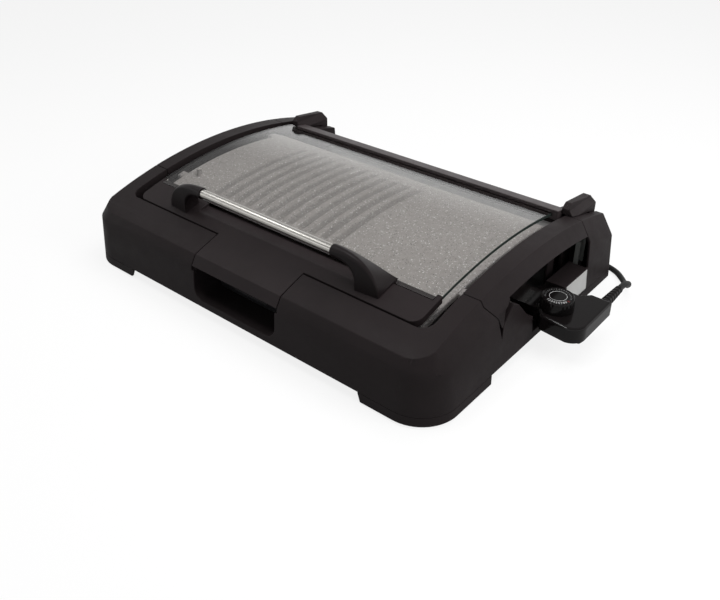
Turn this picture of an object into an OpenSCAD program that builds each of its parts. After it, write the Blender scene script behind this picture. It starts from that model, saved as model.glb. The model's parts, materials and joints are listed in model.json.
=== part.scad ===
// Countertop electric grill with a hinged glass lid, millimetres, Z up.
// Measured from the front wall (y = 0) and the base's middle (x = 0); placed() then moves the
// whole grill so that the origin is under the middle of its bounding box.

/* [Base] */
// Width of the base across its side walls, at the table
base_w = 546; // [520:1:580]
// Depth of the base from front wall to rear wall, at the table
base_d = 390; // [380:1:410]
// Lean of the outer walls from upright, in degrees
wall_draft = 4.6; // [3:0.1:5.5]
// Plan radius of the two front corners
front_corner_r = 46; // [40:1:52]
// Plan radius of the two rear corners
rear_corner_r = 7; // [4:1:9]
// Thickness of the moulded walls
wall_t = 3; // [2.5:0.1:3.5]
// Height of the skirt above the table between the legs
skirt_lift = 12.5; // [10:0.5:15]
// Length of each corner leg along the front wall
leg_w = 84; // [70:1:95]
// Length of each corner leg along the side wall
leg_d = 108; // [90:1:112]
// Thickness of the rubber feet below the legs
foot_t = 2; // [1.5:0.1:3]

/* [Arched top] */
// Radius of the arch that the top of the grill follows from front to back
arch_r = 600; // [560:5:700]
// Height of the arch's crown above the table
crown_z = 108.5; // [104:0.5:112]
// Distance of the crown behind the front wall
crown_y = 215; // [205:1:225]
// Height at which the front wall turns into its sloping band
band_z = 61.3; // [59:0.1:63]
// Rise of the sloping band for each millimetre it leans in
band_slope = 1.6; // [1.4:0.05:1.8]
// Distance of the arch's outer crease inside the side wall's foot
crease_in = 20; // [18:0.5:22]

/* [Well] */
// Width of the well that holds the lid and the cooking plate
well_w = 463; // [455:1:468]
// Distance of the well's front edge behind the front wall
well_y = 47; // [45:0.5:50]
// Distance of the well's rear wall from the rear of the base
well_back = 18; // [15:0.5:22]
// Corner radius of the well
well_r = 14; // [10:1:18]
// Height of the rear wall between the hinge blocks
rear_wall_z = 68; // [60:1:72]
// Height of the floor pan above the table
floor_z = 15; // [14:0.5:17]
// Thickness of the floor pan
floor_t = 1.6; // [1.2:0.1:2]

/* [Side openings] */
// Front end of the side arches, behind the front wall
arch_front = 106; // [100:1:112]
// Distance of a side arch's rear end from the back of the base
arch_in = 68; // [65:1:75]
// Depth of the side arches below the top surface
arch_band = 17; // [15:0.5:20]
// Width of the dark seams between moulded parts
seam = 0.6; // [0.4:0.1:0.9]
// Front jamb of the controller's recess, behind the front wall
recess_front = 192; // [188:1:194]
// Front end of the low wall behind the controller
low_wall_front = 265; // [264:1:268]
// Distance of the low wall's inner face from the middle
low_wall_x = 245; // [240:1:250]
// Height of the low side walls
low_wall_z = 42; // [38:1:46]

/* [Front mouth] */
// Width of the mouth in the front wall
mouth_w = 130; // [120:1:134]
// Lower edge of the mouth above the table
mouth_z0 = 21; // [19:0.5:24]
// Corner radius of the mouth's lower corners
mouth_r = 14; // [8:1:16]

/* [Cooking plate] */
// Width of the cooking plate without its ears
plate_w = 430; // [410:1:436]
// Front edge of the plate behind the front wall
plate_front = 62; // [58:1:70]
// Distance of the plate's rear edge from the back of the base
plate_in = 87; // [84:1:92]
// Depth of the plate's surface below the arched top
plate_drop = 15; // [14:0.5:18]
// Thickness of the plate
plate_t = 6; // [5:0.5:7]
// Number of grooves in the left field
groove_n = 12; // [8:1:13]
// Distance from groove to groove
groove_pitch = 18; // [14:0.5:18]
// Radius of a groove's round bottom
groove_r = 4; // [3:0.25:5]
// Depth of a groove
groove_depth = 2.6; // [2:0.1:3]
// Place of the first groove from the middle
groove_x0 = -146; // [-150:1:-140]
// Front end of the grooves
groove_front = 114; // [112:1:135]
// Distance from the grooves' rear ends to the plate's rear edge
groove_in = 20; // [15:1:33]
// Length of the short front ears at the plate's sides
ear_w = 11; // [8:1:20]
// How far the plate's sides bulge out at their middle
plate_bulge = 3.5; // [2:0.5:6]

/* [Heater] */
// Diameter of the tubular heating element
element_d = 7; // [6:0.1:8]
// Distance between the two long legs of the element
element_span = 120; // [100:1:140]
// Height of the plug-in axis above the table
socket_z = 38; // [37:0.5:39]
// Distance of the plug-in axis behind the front wall
socket_y = 219; // [217:1:222]
// Distance between the two contact pins
pin_gap = 22; // [20:0.5:24]
// Diameter of the contact pins
contact_d = 4; // [3.5:0.1:4.5]
// Diameter of the probe rod
probe_d = 6; // [5:0.1:6.5]
// Length of the probe rod inside the grill
probe_len = 88; // [80:1:95]

/* [Lid] */
// Width of the lid
lid_w = 435; // [428:1:440]
// Thickness of the glass
glass_t = 4; // [3.5:0.1:5]
// Rear edge of the lid's front frame, behind the front wall
frame_back = 92; // [88:1:96]
// Thickness of the front frame
frame_t = 8; // [7:0.5:9]
// Width of the tongue over the front wall
tongue_w = 135; // [128:1:140]
// Thickness of the tongue
tongue_t = 3.2; // [2.5:0.1:3.5]
// Gap around the lid in its opening
lid_gap = 2; // [1.5:0.1:2.5]
// Distance of the lid's rear rail from the back of the base
rail_in = 76; // [72:1:82]
// Depth of the rear rail
rail_d = 18; // [15:0.5:20]
// Height of the rear rail above the glass
rail_up = 5; // [4:0.5:6]

/* [Lid handle] */
// Diameter of the steel handle tube
tube_d = 10.5; // [10:0.1:11.5]
// Visible length of the handle tube
tube_len = 203; // [180:1:215]
// Distance of the tube's axis behind the front wall
tube_y = 59; // [57:0.5:62]
// Height of the tube's axis above the table
tube_z = 121.5; // [118:0.5:123]
// Wall thickness of the handle tube
tube_wall = 1.2; // [0.8:0.1:1.6]
// Distance of the posts' outer tips from the middle
post_tip = 163; // [160:1:166]

/* [Hinge] */
// Distance of the hinge's axis from the back of the base
hinge_in = 16; // [14:0.5:18]
// Height of the hinge axis above the table
hinge_z = 79; // [78:0.5:80]
// Diameter of the hinge pins
hinge_d = 5; // [4:0.25:6]
// Width of the hinge brackets
bracket_w = 16.5; // [14:0.5:17]
// Left face of the left bracket, which stands on the glass
bracket_left = -211; // [-213:1:-207]
// Left face of the right bracket, which stands beside the glass
bracket_right = 226; // [222:1:228]
// Height of the brackets above the arched top at their rear
bracket_up = 21; // [16:0.5:23]
// Distance of the left rear block's inner end from the middle
block_left = 182; // [178:1:188]
// Distance of the right rear block's inner end from the middle
block_right = 212; // [209:1:215]

/* [Drip drawer] */
// Gap between the drip drawer and the mouth at each side
drawer_gap = 4; // [3.5:0.5:10]
// Depth of the drip drawer from front to back
drawer_d = 210; // [150:5:230]
// Height of the drip drawer
drawer_h = 28; // [24:1:29]
// Set-back of the drawer's front behind the front wall
drawer_set = 38; // [34:1:42]
// Wall thickness of the drawer
drawer_t = 1.6; // [1.2:0.1:2]

/* [Controller] */
// Reach of the controller beyond the side wall's foot
ctrl_reach = 53; // [50:1:58]
// Front face of the controller behind the front wall
ctrl_front = 187; // [186:0.5:188]
// Depth of the controller from front to back
ctrl_d = 77; // [74:1:77]
// How far the controller's front slants back towards the base
ctrl_lean = 3.5; // [0:0.5:4]
// Height of the controller's body
ctrl_h = 19.5; // [19:0.5:20.5]
// Wall thickness of the controller's shells
ctrl_t = 2; // [1.6:0.1:2.4]
// Diameter of the knob
knob_d = 37.5; // [34:0.5:39]
// Height of the knob
knob_h = 14; // [12:0.5:16]
// Distance of the knob's axis beyond the side wall's foot
knob_out = 11; // [9:0.5:13]
// Distance of the knob's axis behind the front wall
knob_y = 216; // [213:0.5:218]
// Diameter of the knob's spindle
spindle_d = 6; // [5:0.5:7]
// Length of the strain relief behind the controller
relief_len = 40; // [30:1:45]

/* [Cord] */
// Diameter of the mains cord
cord_d = 7; // [6.4:0.1:7]

/* [Hidden] */
$fn = 72;
round_fn = 240;
fit = 0.3;
slip = 0.05;
far = 200;
hw = base_w / 2;
draft_k = tan(wall_draft);
crease_x = hw - crease_in;
well_x = well_w / 2;
well_end = base_d - well_back;
hinge_y = base_d - hinge_in;
arch_back = base_d - arch_in;
rail_front = base_d - rail_in;
plate_back = base_d - plate_in;
groove_back = plate_back - groove_in;
block_front = hinge_y - 29;
socket_x0 = 206;
socket_x1 = 226;
probe_x1 = socket_x0 + 5;
probe_x0 = probe_x1 - probe_len;
ctrl_x1 = hw + ctrl_reach;
ctrl_back = ctrl_front + ctrl_d;
drawer_x = mouth_w / 2 - drawer_gap;
drawer_z0 = mouth_z0 + 0.5;
ctrl_z0 = socket_z - ctrl_h / 2;
ctrl_z1 = ctrl_z0 + ctrl_h;
knob_x = hw + knob_out;
frame_x = (ctrl_x1 - hw + foot_t * draft_k) / 2;
recess_t = tongue_t + 0.8;
lid_x = lid_w / 2;
plate_x = plate_w / 2;
ear_x = well_x - 3;
leg_y0 = crown_y - element_span / 2;
leg_y1 = crown_y + element_span / 2;
element_z = arch_at(leg_y0, plate_drop + plate_t) - element_d / 2 - fit;
foot_in = 34;
foot_r = 11;
foot_stem_r = 3;
sole_w = 61;
rest_y = 110;
ear_y = rest_y + 10;
rear_ear_w = 16;
relief_x = ctrl_x1 - 9;
relief_z = ctrl_z1 - 7.2;
relief_r = cord_d / 2 + 2.9;
rail_x0 = bracket_left + bracket_w + slip;
rail_x1 = bracket_right - slip;
post_screw_y = 74;
post_screws = [142, 156];
lens_x = knob_x + 3;
lens_y = knob_y + 27;
lens_d = 5;
ring_r = 9.8;
ring_w = 1;
vent_n = 9;
vent_x = 150;
vent_half = 40;
vent_y = 90;
vent_step = 24;
vent_w = 8;
runner_in = 14;
runner_short = 82;
sheet_z = 56;
sheet_t = 0.8;
coil_rings = 2;
coil_layers = 2;
coil_x = 180;
coil_y = 446;
coil_r = 38;
plug_x = 36;
plug_y = 419;
plug_r = 18.5;
plug_z = plug_r;

// Middle of the cord from the strain relief to the coil
cord_route = [[317, 302, 40.5], [317, 312, 40.5], [317, 322, 38.5], [316, 333, 33], [313, 344, 25.5],
    [309, 355, 17.5], [304, 366, 10], [297, 377, 5], [289, 387, 3.5], [278, 396.5, 3.5],
    [264, 402.5, 3.5], [248, 404.5, 3.5], [220, 404.5, 3.5], [192, 404.5, 3.5]];
// Middle of the cord from the coil to the plug
lead_route = [[172, 404.5, 17.3], [158, 404.7, 17.3], [144, 406, 17.4], [131, 409.2, 17.6],
    [118, 414, 18], [106, 417.6, 18.4], [94, 419, 18.5]];

// Height of the arched surface, or of one sunk below it, at a distance behind the front wall
function arch_at(y, drop = 0) =
    crown_z - arch_r + sqrt(pow(arch_r - drop, 2) - pow(y - crown_y, 2));

// Moves the grill from its working axes to the origin under the middle of its box
module placed() {
    translate([-frame_x, -base_d / 2, 0]) children();
}

// A box given by its two ends on each axis
module box(x0, x1, y0, y1, z0, z1) {
    translate([x0, y0, z0]) cube([x1 - x0, y1 - y0, z1 - z0]);
}

// Extrudes an outline of (y, z) along X
module along_x(x0, x1) {
    translate([x0, 0, 0]) rotate([90, 0, 90]) linear_extrude(x1 - x0) children();
}

// Extrudes an outline of (x, z) along Y
module along_y(y0, y1) {
    translate([0, y1, 0]) rotate([90, 0, 0]) linear_extrude(y1 - y0) children();
}

// A round bar along X
module bar_x(x0, x1, y, z, r) {
    translate([x0, y, z]) rotate([0, 90, 0]) cylinder(r = r, h = x1 - x0);
}

// Everything below the arched surface, sunk by drop
module under_arch(drop) {
    translate([-base_w, crown_y, crown_z - arch_r]) rotate([0, 90, 0])
        cylinder(r = arch_r - drop, h = 2 * base_w, $fn = round_fn);
}

// The layer between two depths below the arched surface, inside a box
module arched_layer(x0, x1, y0, y1, drop0, drop1) {
    intersection() {
        box(x0, x1, y0, y1, 0, far);
        difference() {
            under_arch(drop0);
            under_arch(drop1);
        }
    }
}

// What rounds off one front corner, the sloping band included
module front_waste(side, inset) {
    r = front_corner_r - inset;
    r_band = r - band_z * draft_k;
    z_top = band_z + (r_band - 2) * band_slope;
    cx = side * (hw - front_corner_r);
    difference() {
        box(min(cx, side * (hw + 1)), max(cx, side * (hw + 1)), -1, front_corner_r, -2, z_top - 1);
        translate([cx, front_corner_r, 0]) rotate_extrude($fn = 96)
            polygon([[0, -3], [r + 3 * draft_k, -3], [r_band, band_z], [2, z_top], [0, z_top]]);
    }
}

// What rounds off one rear corner up to where the side's sloping band begins
module rear_waste(side, inset) {
    r = max(rear_corner_r - inset, 2);
    z_top = (r - 1) / draft_k;
    cx = side * (hw - inset - r);
    cy = base_d - inset - r;
    difference() {
        box(min(cx, side * (hw + 1)), max(cx, side * (hw + 1)), cy, base_d + 1, -2, z_top - 1);
        translate([cx, cy, 0]) rotate_extrude()
            polygon([[0, -3], [r + 3 * draft_k, -3], [1, z_top], [0, z_top]]);
    }
}

// The grill's outer form: leaning walls, sloping band, arched top and round corners
module outer_form(inset = 0, drop = 0) {
    y_band = inset + band_z * draft_k;
    lean = (far - band_z) / band_slope;
    edge_r = arch_r - drop;
    side_x = hw + 20;
    side_r = edge_r - (side_x - crease_x + inset) * band_slope;
    difference() {
        intersection() {
            along_x(-hw - 10, hw + 10)
                polygon([[inset - draft_k, -1], [y_band, band_z], [y_band + lean, far],
                    [base_d - inset - far * draft_k, far], [base_d - inset + draft_k, -1]]);
            along_y(-10, base_d + 10)
                polygon([[-hw + inset - draft_k, -1], [-hw + inset + far * draft_k, far],
                    [hw - inset - far * draft_k, far], [hw - inset + draft_k, -1]]);
            translate([0, crown_y, crown_z - arch_r]) rotate([0, 90, 0])
                rotate_extrude($fn = round_fn)
                polygon([[0, -side_x], [side_r, -side_x], [edge_r, -crease_x + inset],
                    [edge_r, crease_x - inset], [side_r, side_x], [0, side_x]]);
        }
        for (side = [-1, 1]) {
            front_waste(side, inset);
            rear_waste(side, inset);
        }
    }
}

// Rectangle with round corners
module round_rect(x0, x1, y0, y1, r) {
    translate([x0 + r, y0]) square([x1 - x0 - 2 * r, y1 - y0]);
    translate([x0, y0 + r]) square([x1 - x0, y1 - y0 - 2 * r]);
    for (x = [x0 + r, x1 - r], y = [y0 + r, y1 - r])
        translate([x, y]) circle(r = r);
}

// The well's plan, grown by a margin, from one height up
module well_form(grow, z0) {
    translate([0, 0, z0]) linear_extrude(far)
        round_rect(-well_x - grow, well_x + grow, well_y - grow, well_end + grow, well_r + grow);
}

// Outline, in side view, of what is open or taken by a side arch above the side walls
module side_gap_outline(recess, back = arch_back) {
    polygon(concat(
        [[arch_front, far], [arch_front, 92], [121, 73], [128, 47], [131, 62], [150, 78],
            [162, 71], [176, 54], [recess_front - 6, low_wall_z], [recess_front, low_wall_z]],
        recess ? [[recess_front, 22], [low_wall_front, 22], [low_wall_front, low_wall_z]] : [],
        [[back, low_wall_z], [back, far]]));
}

// The side gap with the walls that close its edges
module side_gap_walls(recess) {
    for (a = [0 : 45 : 180])
        translate([0, wall_t * cos(a), -wall_t * sin(a)]) along_x(well_x + wall_t, hw + 5)
            side_gap_outline(recess, arch_back - wall_t);
}

// Outline, in side view, of one side arch before its underside is cut to the band
module arch_outline() {
    polygon([[arch_front + seam, far], [arch_front + seam, 92], [121 + seam, 73],
        [128, 60], [130, 60.5], [132, 66], [134, 79], [146, 86], [arch_back - seam, 80],
        [arch_back - seam, far]]);
}

// One side arch, hollow from below
module side_arch(side) {
    mirror([side < 0 ? 1 : 0, 0, 0]) difference() {
        intersection() {
            outer_form();
            along_x(well_x, hw) arch_outline();
        }
        intersection() {
            under_arch(arch_band);
            box(0, hw + 5, 145, arch_back + 1, 0, far);
        }
        intersection() {
            outer_form(wall_t, wall_t);
            box(well_x + wall_t, hw, arch_front + seam + wall_t, arch_back - seam - wall_t, 0, far);
        }
    }
}

// Solid blocks in the rear corners that carry the lid's hinge
module hinge_blocks() {
    intersection() {
        outer_form();
        union() {
            box(-well_x - 20, -block_left, block_front, base_d, floor_z + floor_t, far);
            box(block_right, well_x + 20, block_front, base_d, floor_z + floor_t, far);
        }
    }
}

// Room for a hinge bracket in its block, open to the rear, with the bore for its pin
module hinge_notch(x0) {
    box(x0 - fit, x0 + bracket_w + fit, hinge_y - 14, base_d + 5, hinge_z - 9, far);
    bar_x(x0 - 9, x0 + bracket_w + 9, hinge_y, hinge_z, hinge_d / 2 + slip);
}

// Rest for the cooking plate on the well's side wall
module plate_rest(y0, y1) {
    x0 = plate_x - 6;
    intersection() {
        box(x0, well_x + wall_t, y0, y1, floor_z, far);
        under_arch(plate_drop + plate_t + fit);
        along_y(y0 - 1, y1 + 1)
            polygon([[x0, 72], [well_x, 72 - (well_x - x0)], [well_x, 20], [well_x + wall_t, 20],
                [well_x + wall_t, far], [x0, far]]);
    }
}

// Where the floor pan is screwed on
function floor_screw_spots() = concat(
    [for (x = [-200, 200]) [x, well_y + 4]],
    [for (x = [-150, 0, 150]) [x, well_end - 4]]);

// Bosses that the floor pan is screwed to
module floor_bosses() {
    for (p = floor_screw_spots()) translate([p[0], p[1], floor_z + floor_t]) difference() {
        cylinder(r = 5, h = 22);
        translate([0, 0, -1]) cylinder(d = 4.1, h = 18);
    }
}

module base_housing() {
    rest_w = 32;
    color([0.13, 0.12, 0.12]) placed() difference() {
        union() {
            difference() {
                outer_form();
                difference() {
                    outer_form(wall_t, wall_t);
                    well_form(wall_t, floor_z + floor_t);
                    difference() {
                        box(-tongue_w / 2 - 5, tongue_w / 2 + 5, 0, well_y, 0, far);
                        outer_form(recess_t + wall_t, recess_t + wall_t);
                    }
                    side_gap_walls(true);
                    mirror([1, 0, 0]) side_gap_walls(false);
                    box(low_wall_x - 1, low_wall_x + wall_t, recess_front, arch_back, 22, far);
                    box(well_x, low_wall_x + wall_t, low_wall_front - wall_t, arch_back + wall_t,
                        22 - wall_t, 22);
                    mouth(wall_t);
                }
                well_form(0, -5);
                box(-block_left, block_right, well_end - 1, base_d + 5, rear_wall_z, far);
                along_x(well_x - 1, hw + 5) side_gap_outline(true);
                mirror([1, 0, 0]) along_x(well_x - 1, hw + 5) side_gap_outline(false);
                box(well_x - 1, low_wall_x, recess_front, arch_back, 22, far);
            }
            rear_ledge();
            hinge_blocks();
            hand_guard();
            for (s = [-1, 1]) mirror([s < 0 ? 1 : 0, 0, 0]) {
                difference() {
                    plate_rest(rest_y, rest_y + rest_w);
                    along_x(well_x - fit, hw) side_gap_outline(false);
                }
                plate_rest(plate_back - rear_ear_w, plate_back);
            }
            reflector_rest(well_y);
            reflector_rest(well_end - 8);
            floor_bosses();
        }
        tongue_recess();
        mouth();
        box(-hw - 5, hw + 5, -5, base_d + 5, -5, skirt_lift);
        hinge_notch(bracket_left);
        hinge_notch(bracket_right);
    }
}

// The housing's four corner legs, from the skirt's lower edge down to the feet
module corner_legs() {
    color([0.13, 0.12, 0.12]) placed() difference() {
        intersection() {
            box(-hw - 5, hw + 5, -5, base_d + 5, foot_t, skirt_lift);
            union() {
                difference() {
                    outer_form();
                    outer_form(wall_t, wall_t);
                }
                leg_soles();
            }
        }
        skirt_cuts();
        at_legs() cylinder(r = foot_stem_r + slip, h = 2 * foot_t + wall_t);
    }
}

// Inner wall that parts the left hand opening from the hot plate
module hand_guard() {
    intersection() {
        under_arch(arch_band + slip);
        along_x(-well_x - wall_t, -well_x)
            polygon([[137, 55], [137, 79.5], [146, 85.5], [146, far], [arch_back + 1, far],
                [arch_back + 1, low_wall_z - 1], [176, low_wall_z - 1]]);
    }
}

// Cover strip on top of the rear wall between the hinge blocks
module rear_ledge() {
    intersection() {
        outer_form();
        box(-block_left - 1, block_right + 1, well_end, base_d, rear_wall_z - wall_t, rear_wall_z);
    }
}

// Ledge on the well's front or rear wall that carries the heat reflector
module reflector_rest(y0) {
    for (x = [-170, 90])
        box(x, x + 80, y0 - 1, y0 + 8, sheet_z - 3, sheet_z);
}

// Sunk bed for the lid's tongue in the front band
module tongue_recess() {
    difference() {
        box(-tongue_w / 2 - lid_gap / 2, tongue_w / 2 + lid_gap / 2, -1, well_y + 1,
            band_z - recess_t * band_slope, far);
        outer_form(recess_t, recess_t);
    }
}

// Upright trough section with round lower corners
module trough(x, z0, z1, r) {
    translate([-x, z0 + r]) square([2 * x, z1 - z0 - r]);
    translate([-x + r, z0]) square([2 * x - 2 * r, z1 - z0]);
    for (s = [-1, 1]) translate([s * (x - r), z0 + r]) circle(r = r);
}

// Mouth in the front wall, through to the well, grown by a margin
module mouth(grow = 0) {
    along_y(-5, well_y + 10)
        trough(mouth_w / 2 + grow, mouth_z0 - grow, band_z + 1, mouth_r + grow);
}

// What lies between the four corner legs, with the legs' sloping ends
module skirt_cuts() {
    slope = 7;
    top = skirt_lift + 1;
    deep = slope * (top + 5) / (skirt_lift + 5);
    along_y(-5, base_d + 5)
        polygon([[-hw + leg_w + deep, top], [hw - leg_w - deep, top],
            [hw - leg_w, -5], [-hw + leg_w, -5]]);
    along_x(-hw - 5, hw + 5)
        polygon([[leg_d + 2, top], [base_d - leg_w - 2, top],
            [base_d - leg_w, -5], [leg_d, -5]]);
}

module side_arch_left() {
    color([0.14, 0.13, 0.13]) placed() side_arch(-1);
}

module side_arch_right() {
    color([0.14, 0.13, 0.13]) placed() side_arch(1);
}

module floor_pan() {
    color([0.10, 0.10, 0.10]) placed() difference() {
        box(-well_x - wall_t + 1, well_x + wall_t - 1, well_y - 2, well_end + 2,
            floor_z, floor_z + floor_t - slip);
        for (i = [0 : vent_n - 1], s = [-1, 1])
            box(s * vent_x - vent_half, s * vent_x + vent_half, vent_y + i * vent_step,
                vent_y + i * vent_step + vent_w, 0, far);
        for (p = floor_screw_spots())
            translate([p[0], p[1], 0]) cylinder(d = 4.3, h = far);
    }
}

module floor_screws() {
    color([0.62, 0.62, 0.63]) placed()
        for (p = floor_screw_spots()) translate([p[0], p[1], floor_z]) {
            translate([0, 0, -2.4]) cylinder(r = 3.8, h = 2.4);
            cylinder(d = 4, h = 16);
        }
}

// Places something at each corner leg
module at_legs() {
    for (s = [-1, 1], y = [foot_in, base_d - foot_in])
        translate([s * (hw - foot_in), y, 0]) children();
}

// Soles that close the corner legs above the feet
module leg_soles() {
    intersection() {
        outer_form();
        for (x = [-hw, hw - sole_w], y = [0, base_d - sole_w])
            translate([x, y, foot_t]) cube([sole_w, sole_w, wall_t]);
    }
}

module rubber_feet() {
    color([0.07, 0.07, 0.07]) placed() at_legs() {
        cylinder(r = foot_r, h = foot_t);
        cylinder(r = foot_stem_r, h = foot_t + wall_t + 1);
        translate([0, 0, foot_t + wall_t + slip]) cylinder(r = foot_stem_r + 1.5, h = 2);
    }
}

module rating_plate() {
    plate_in = 3;
    color([0.86, 0.86, 0.86]) placed() intersection() {
        box(0, hw + 5, low_wall_front + plate_in, arch_back - plate_in,
            skirt_lift + plate_in, low_wall_z - 1);
        difference() {
            outer_form(-0.5);
            outer_form(0);
        }
    }
}

// Light metal strip in front of the right hinge block, which steadies the plate
module retaining_strip() {
    x0 = low_wall_x + 1.5;
    y0 = arch_back + 8;
    t = 1.2;
    color([0.75, 0.75, 0.74]) placed() {
        box(x0, x0 + 6, y0, y0 + t, 34, 78);
        box(x0, x0 + t, y0, block_front - slip, 34, 78);
        box(x0, x0 + 6, block_front - t, block_front - slip, 34, 78);
    }
}

module hinge_pins() {
    color([0.70, 0.70, 0.71]) placed()
        for (x0 = [bracket_left, bracket_right])
            bar_x(x0 - 8, x0 + bracket_w + 8, hinge_y, hinge_z, hinge_d / 2);
}

// Sheet under the element that sends heat up and drips to the drawer
module heat_reflector() {
    slot = 12;
    low = sheet_z - 6;
    high = sheet_z + 4;
    color([0.72, 0.72, 0.73]) placed() difference() {
        box(-well_x + 4, well_x - 4, well_y + 3, well_end - 3, sheet_z, sheet_z + sheet_t);
        box(-50, 50, 150, 200, low, high);
        box(probe_x0 - 4, probe_x0 + 36, socket_y - 11, socket_y + 11, low, high);
        box(socket_x0 - 40, socket_x1 + 6, socket_y - slot - 11, socket_y + slot + 11, low, high);
        for (s = [-1, 1], y = [[rest_y - 6, rest_y + 40], [plate_back - 24, plate_back + 8]])
            box(s * (well_x - 12) - 14, s * (well_x - 12) + 14, y[0], y[1], low, high);
        box(-well_x, -block_left + 2, block_front - 2, well_end, low, high);
        box(block_right - 2, well_x, block_front - 2, well_end, low, high);
    }
}

// Runners on the floor pan that carry the drawer and guide its sides
module drawer_rails() {
    x1 = drawer_x + fit;
    y0 = well_y + runner_in;
    y1 = well_end - runner_short;
    z0 = floor_z + floor_t;
    color([0.12, 0.12, 0.12]) placed()
        for (s = [-1, 1]) mirror([s < 0 ? 1 : 0, 0, 0]) {
            box(x1 - 24, x1 + 2, y0, y1, z0, drawer_z0 - slip);
            box(x1, x1 + 2, y0, y1, z0, drawer_z0 + 16);
        }
}

// The plate's ears at its sides
module plate_ears() {
    for (s = [-1, 1]) mirror([s < 0 ? 1 : 0, 0, 0]) {
        arched_layer(plate_x - 5, ear_x, ear_y, ear_y + ear_w,
            plate_drop + 1, plate_drop + plate_t);
        arched_layer(plate_x - 5, ear_x, plate_back - rear_ear_w, plate_back,
            plate_drop + 1, plate_drop + plate_t);
    }
}

// The plate's plan from above, with its bulging sides
module plate_plan() {
    mid = (plate_front + plate_back) / 2;
    half = (plate_back - plate_front) / 2;
    r = (half * half + plate_bulge * plate_bulge) / (2 * plate_bulge);
    intersection() {
        box(-far * 2, far * 2, plate_front, plate_back, 0, far);
        translate([plate_x + plate_bulge - r, mid, 0]) cylinder(r = r, h = far, $fn = round_fn);
        translate([r - plate_x - plate_bulge, mid, 0]) cylinder(r = r, h = far, $fn = round_fn);
    }
}

module grill_plate() {
    color([0.52, 0.50, 0.49]) placed() difference() {
        union() {
            intersection() {
                arched_layer(-well_x, well_x, plate_front, plate_back,
                    plate_drop, plate_drop + plate_t);
                plate_plan();
            }
            plate_ears();
        }
        for (i = [0 : groove_n - 1]) groove(groove_x0 + i * groove_pitch);
        translate([-plate_x + 16, plate_front + 72, 0]) cylinder(d = 7, h = far);
    }
}

// One groove along the arch, from front to back
module groove(x) {
    intersection() {
        box(x - groove_r - 1, x + groove_r + 1, groove_front, groove_back, 0, far);
        translate([x, crown_y, crown_z - arch_r]) rotate([0, 90, 0]) rotate_extrude($fn = round_fn)
            translate([arch_r - plate_drop + groove_r - groove_depth, 0]) circle(r = groove_r);
    }
}

// Quarter bend of the element in the plane of two axes, from (r, 0) to (0, r)
module bend(r, d) {
    intersection() {
        rotate_extrude() translate([r, 0]) circle(d = d);
        translate([0, 0, -d]) cube([2 * r, 2 * r, 2 * d]);
    }
}

// One cold end and long leg of the element; side is -1 for the front leg, 1 for the rear one
module element_leg(side) {
    r = 12;
    d = element_d;
    y0 = socket_y + side * pin_gap / 2;
    y1 = side < 0 ? leg_y0 : leg_y1;
    x_up = socket_x0 - 14 - r;
    x_turn = x_up - r - 8;
    bar_x(x_up + r, socket_x0 - 2, y0, socket_z, d / 2);
    translate([x_up + r, y0, socket_z + r]) rotate([-90, 0, 180]) bend(r, d);
    translate([x_up, y0, socket_z + r]) cylinder(d = d, h = element_z - socket_z - 2 * r);
    translate([x_up - r, y0, element_z - r]) rotate([90, 0, 0]) bend(r, d);
    bar_x(x_turn, x_up - r, y0, element_z, d / 2);
    translate([x_turn, y0 + side * r, element_z]) rotate([0, 0, side < 0 ? 90 : 180]) bend(r, d);
    translate([x_turn - r, min(y0 + side * r, y1 - side * r), element_z]) rotate([-90, 0, 0])
        cylinder(d = d, h = abs(y1 - y0) - 2 * r);
    translate([x_turn - 2 * r, y1 - side * r, element_z]) rotate([0, 0, side < 0 ? 270 : 0])
        bend(r, d);
    bar_x(-150, x_turn - 2 * r, y1, element_z, d / 2);
}

module heating_element() {
    color([0.35, 0.33, 0.32]) placed() {
        element_leg(-1);
        element_leg(1);
        translate([-150, crown_y, element_z]) intersection() {
            rotate_extrude() translate([element_span / 2, 0]) circle(d = element_d);
            box(-far, 0, -far, far, -far, far);
        }
    }
}

module terminal_pins() {
    color([0.78, 0.78, 0.79]) placed()
        for (s = [-1, 1])
            bar_x(socket_x0 - 2, socket_x1 - 2, socket_y + s * pin_gap / 2, socket_z, contact_d / 2);
}

// Shroud around the contact pins, open towards the side
module terminal_shroud() {
    wide = pin_gap + 18;
    high = 23;
    wall = 2;
    color([0.80, 0.78, 0.72]) placed() difference() {
        box(socket_x0, socket_x1, socket_y - wide / 2, socket_y + wide / 2,
            socket_z - high / 2, socket_z + high / 2);
        box(socket_x0 + wall, socket_x1 + 1, socket_y - wide / 2 + wall, socket_y + wide / 2 - wall,
            socket_z - high / 2 + wall, socket_z + high / 2 - wall);
        for (s = [-1, 1])
            bar_x(socket_x0 - 1, socket_x1, socket_y + s * pin_gap / 2, socket_z,
                contact_d / 2 + slip);
        bar_x(socket_x0 - 1, socket_x1, socket_y, socket_z, probe_d / 2 + fit);
    }
}

// Sheet-metal bracket that hangs the shroud from the plate
module socket_bracket() {
    t = 1.2;
    z0 = socket_z + 11.5;
    y0 = socket_y - 7;
    y1 = socket_y + 7;
    top = arch_at(y0, plate_drop + plate_t);
    color([0.70, 0.70, 0.71]) placed() {
        box(socket_x0 + 4, socket_x1 - 2, y0, y1, z0, z0 + t);
        box(socket_x0 + 4, socket_x0 + 4 + t, y0, y1, z0, top - slip);
        box(socket_x0 - 12, socket_x0 + 4 + t, y0, y1, top - t - slip, top - slip);
    }
}

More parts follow.
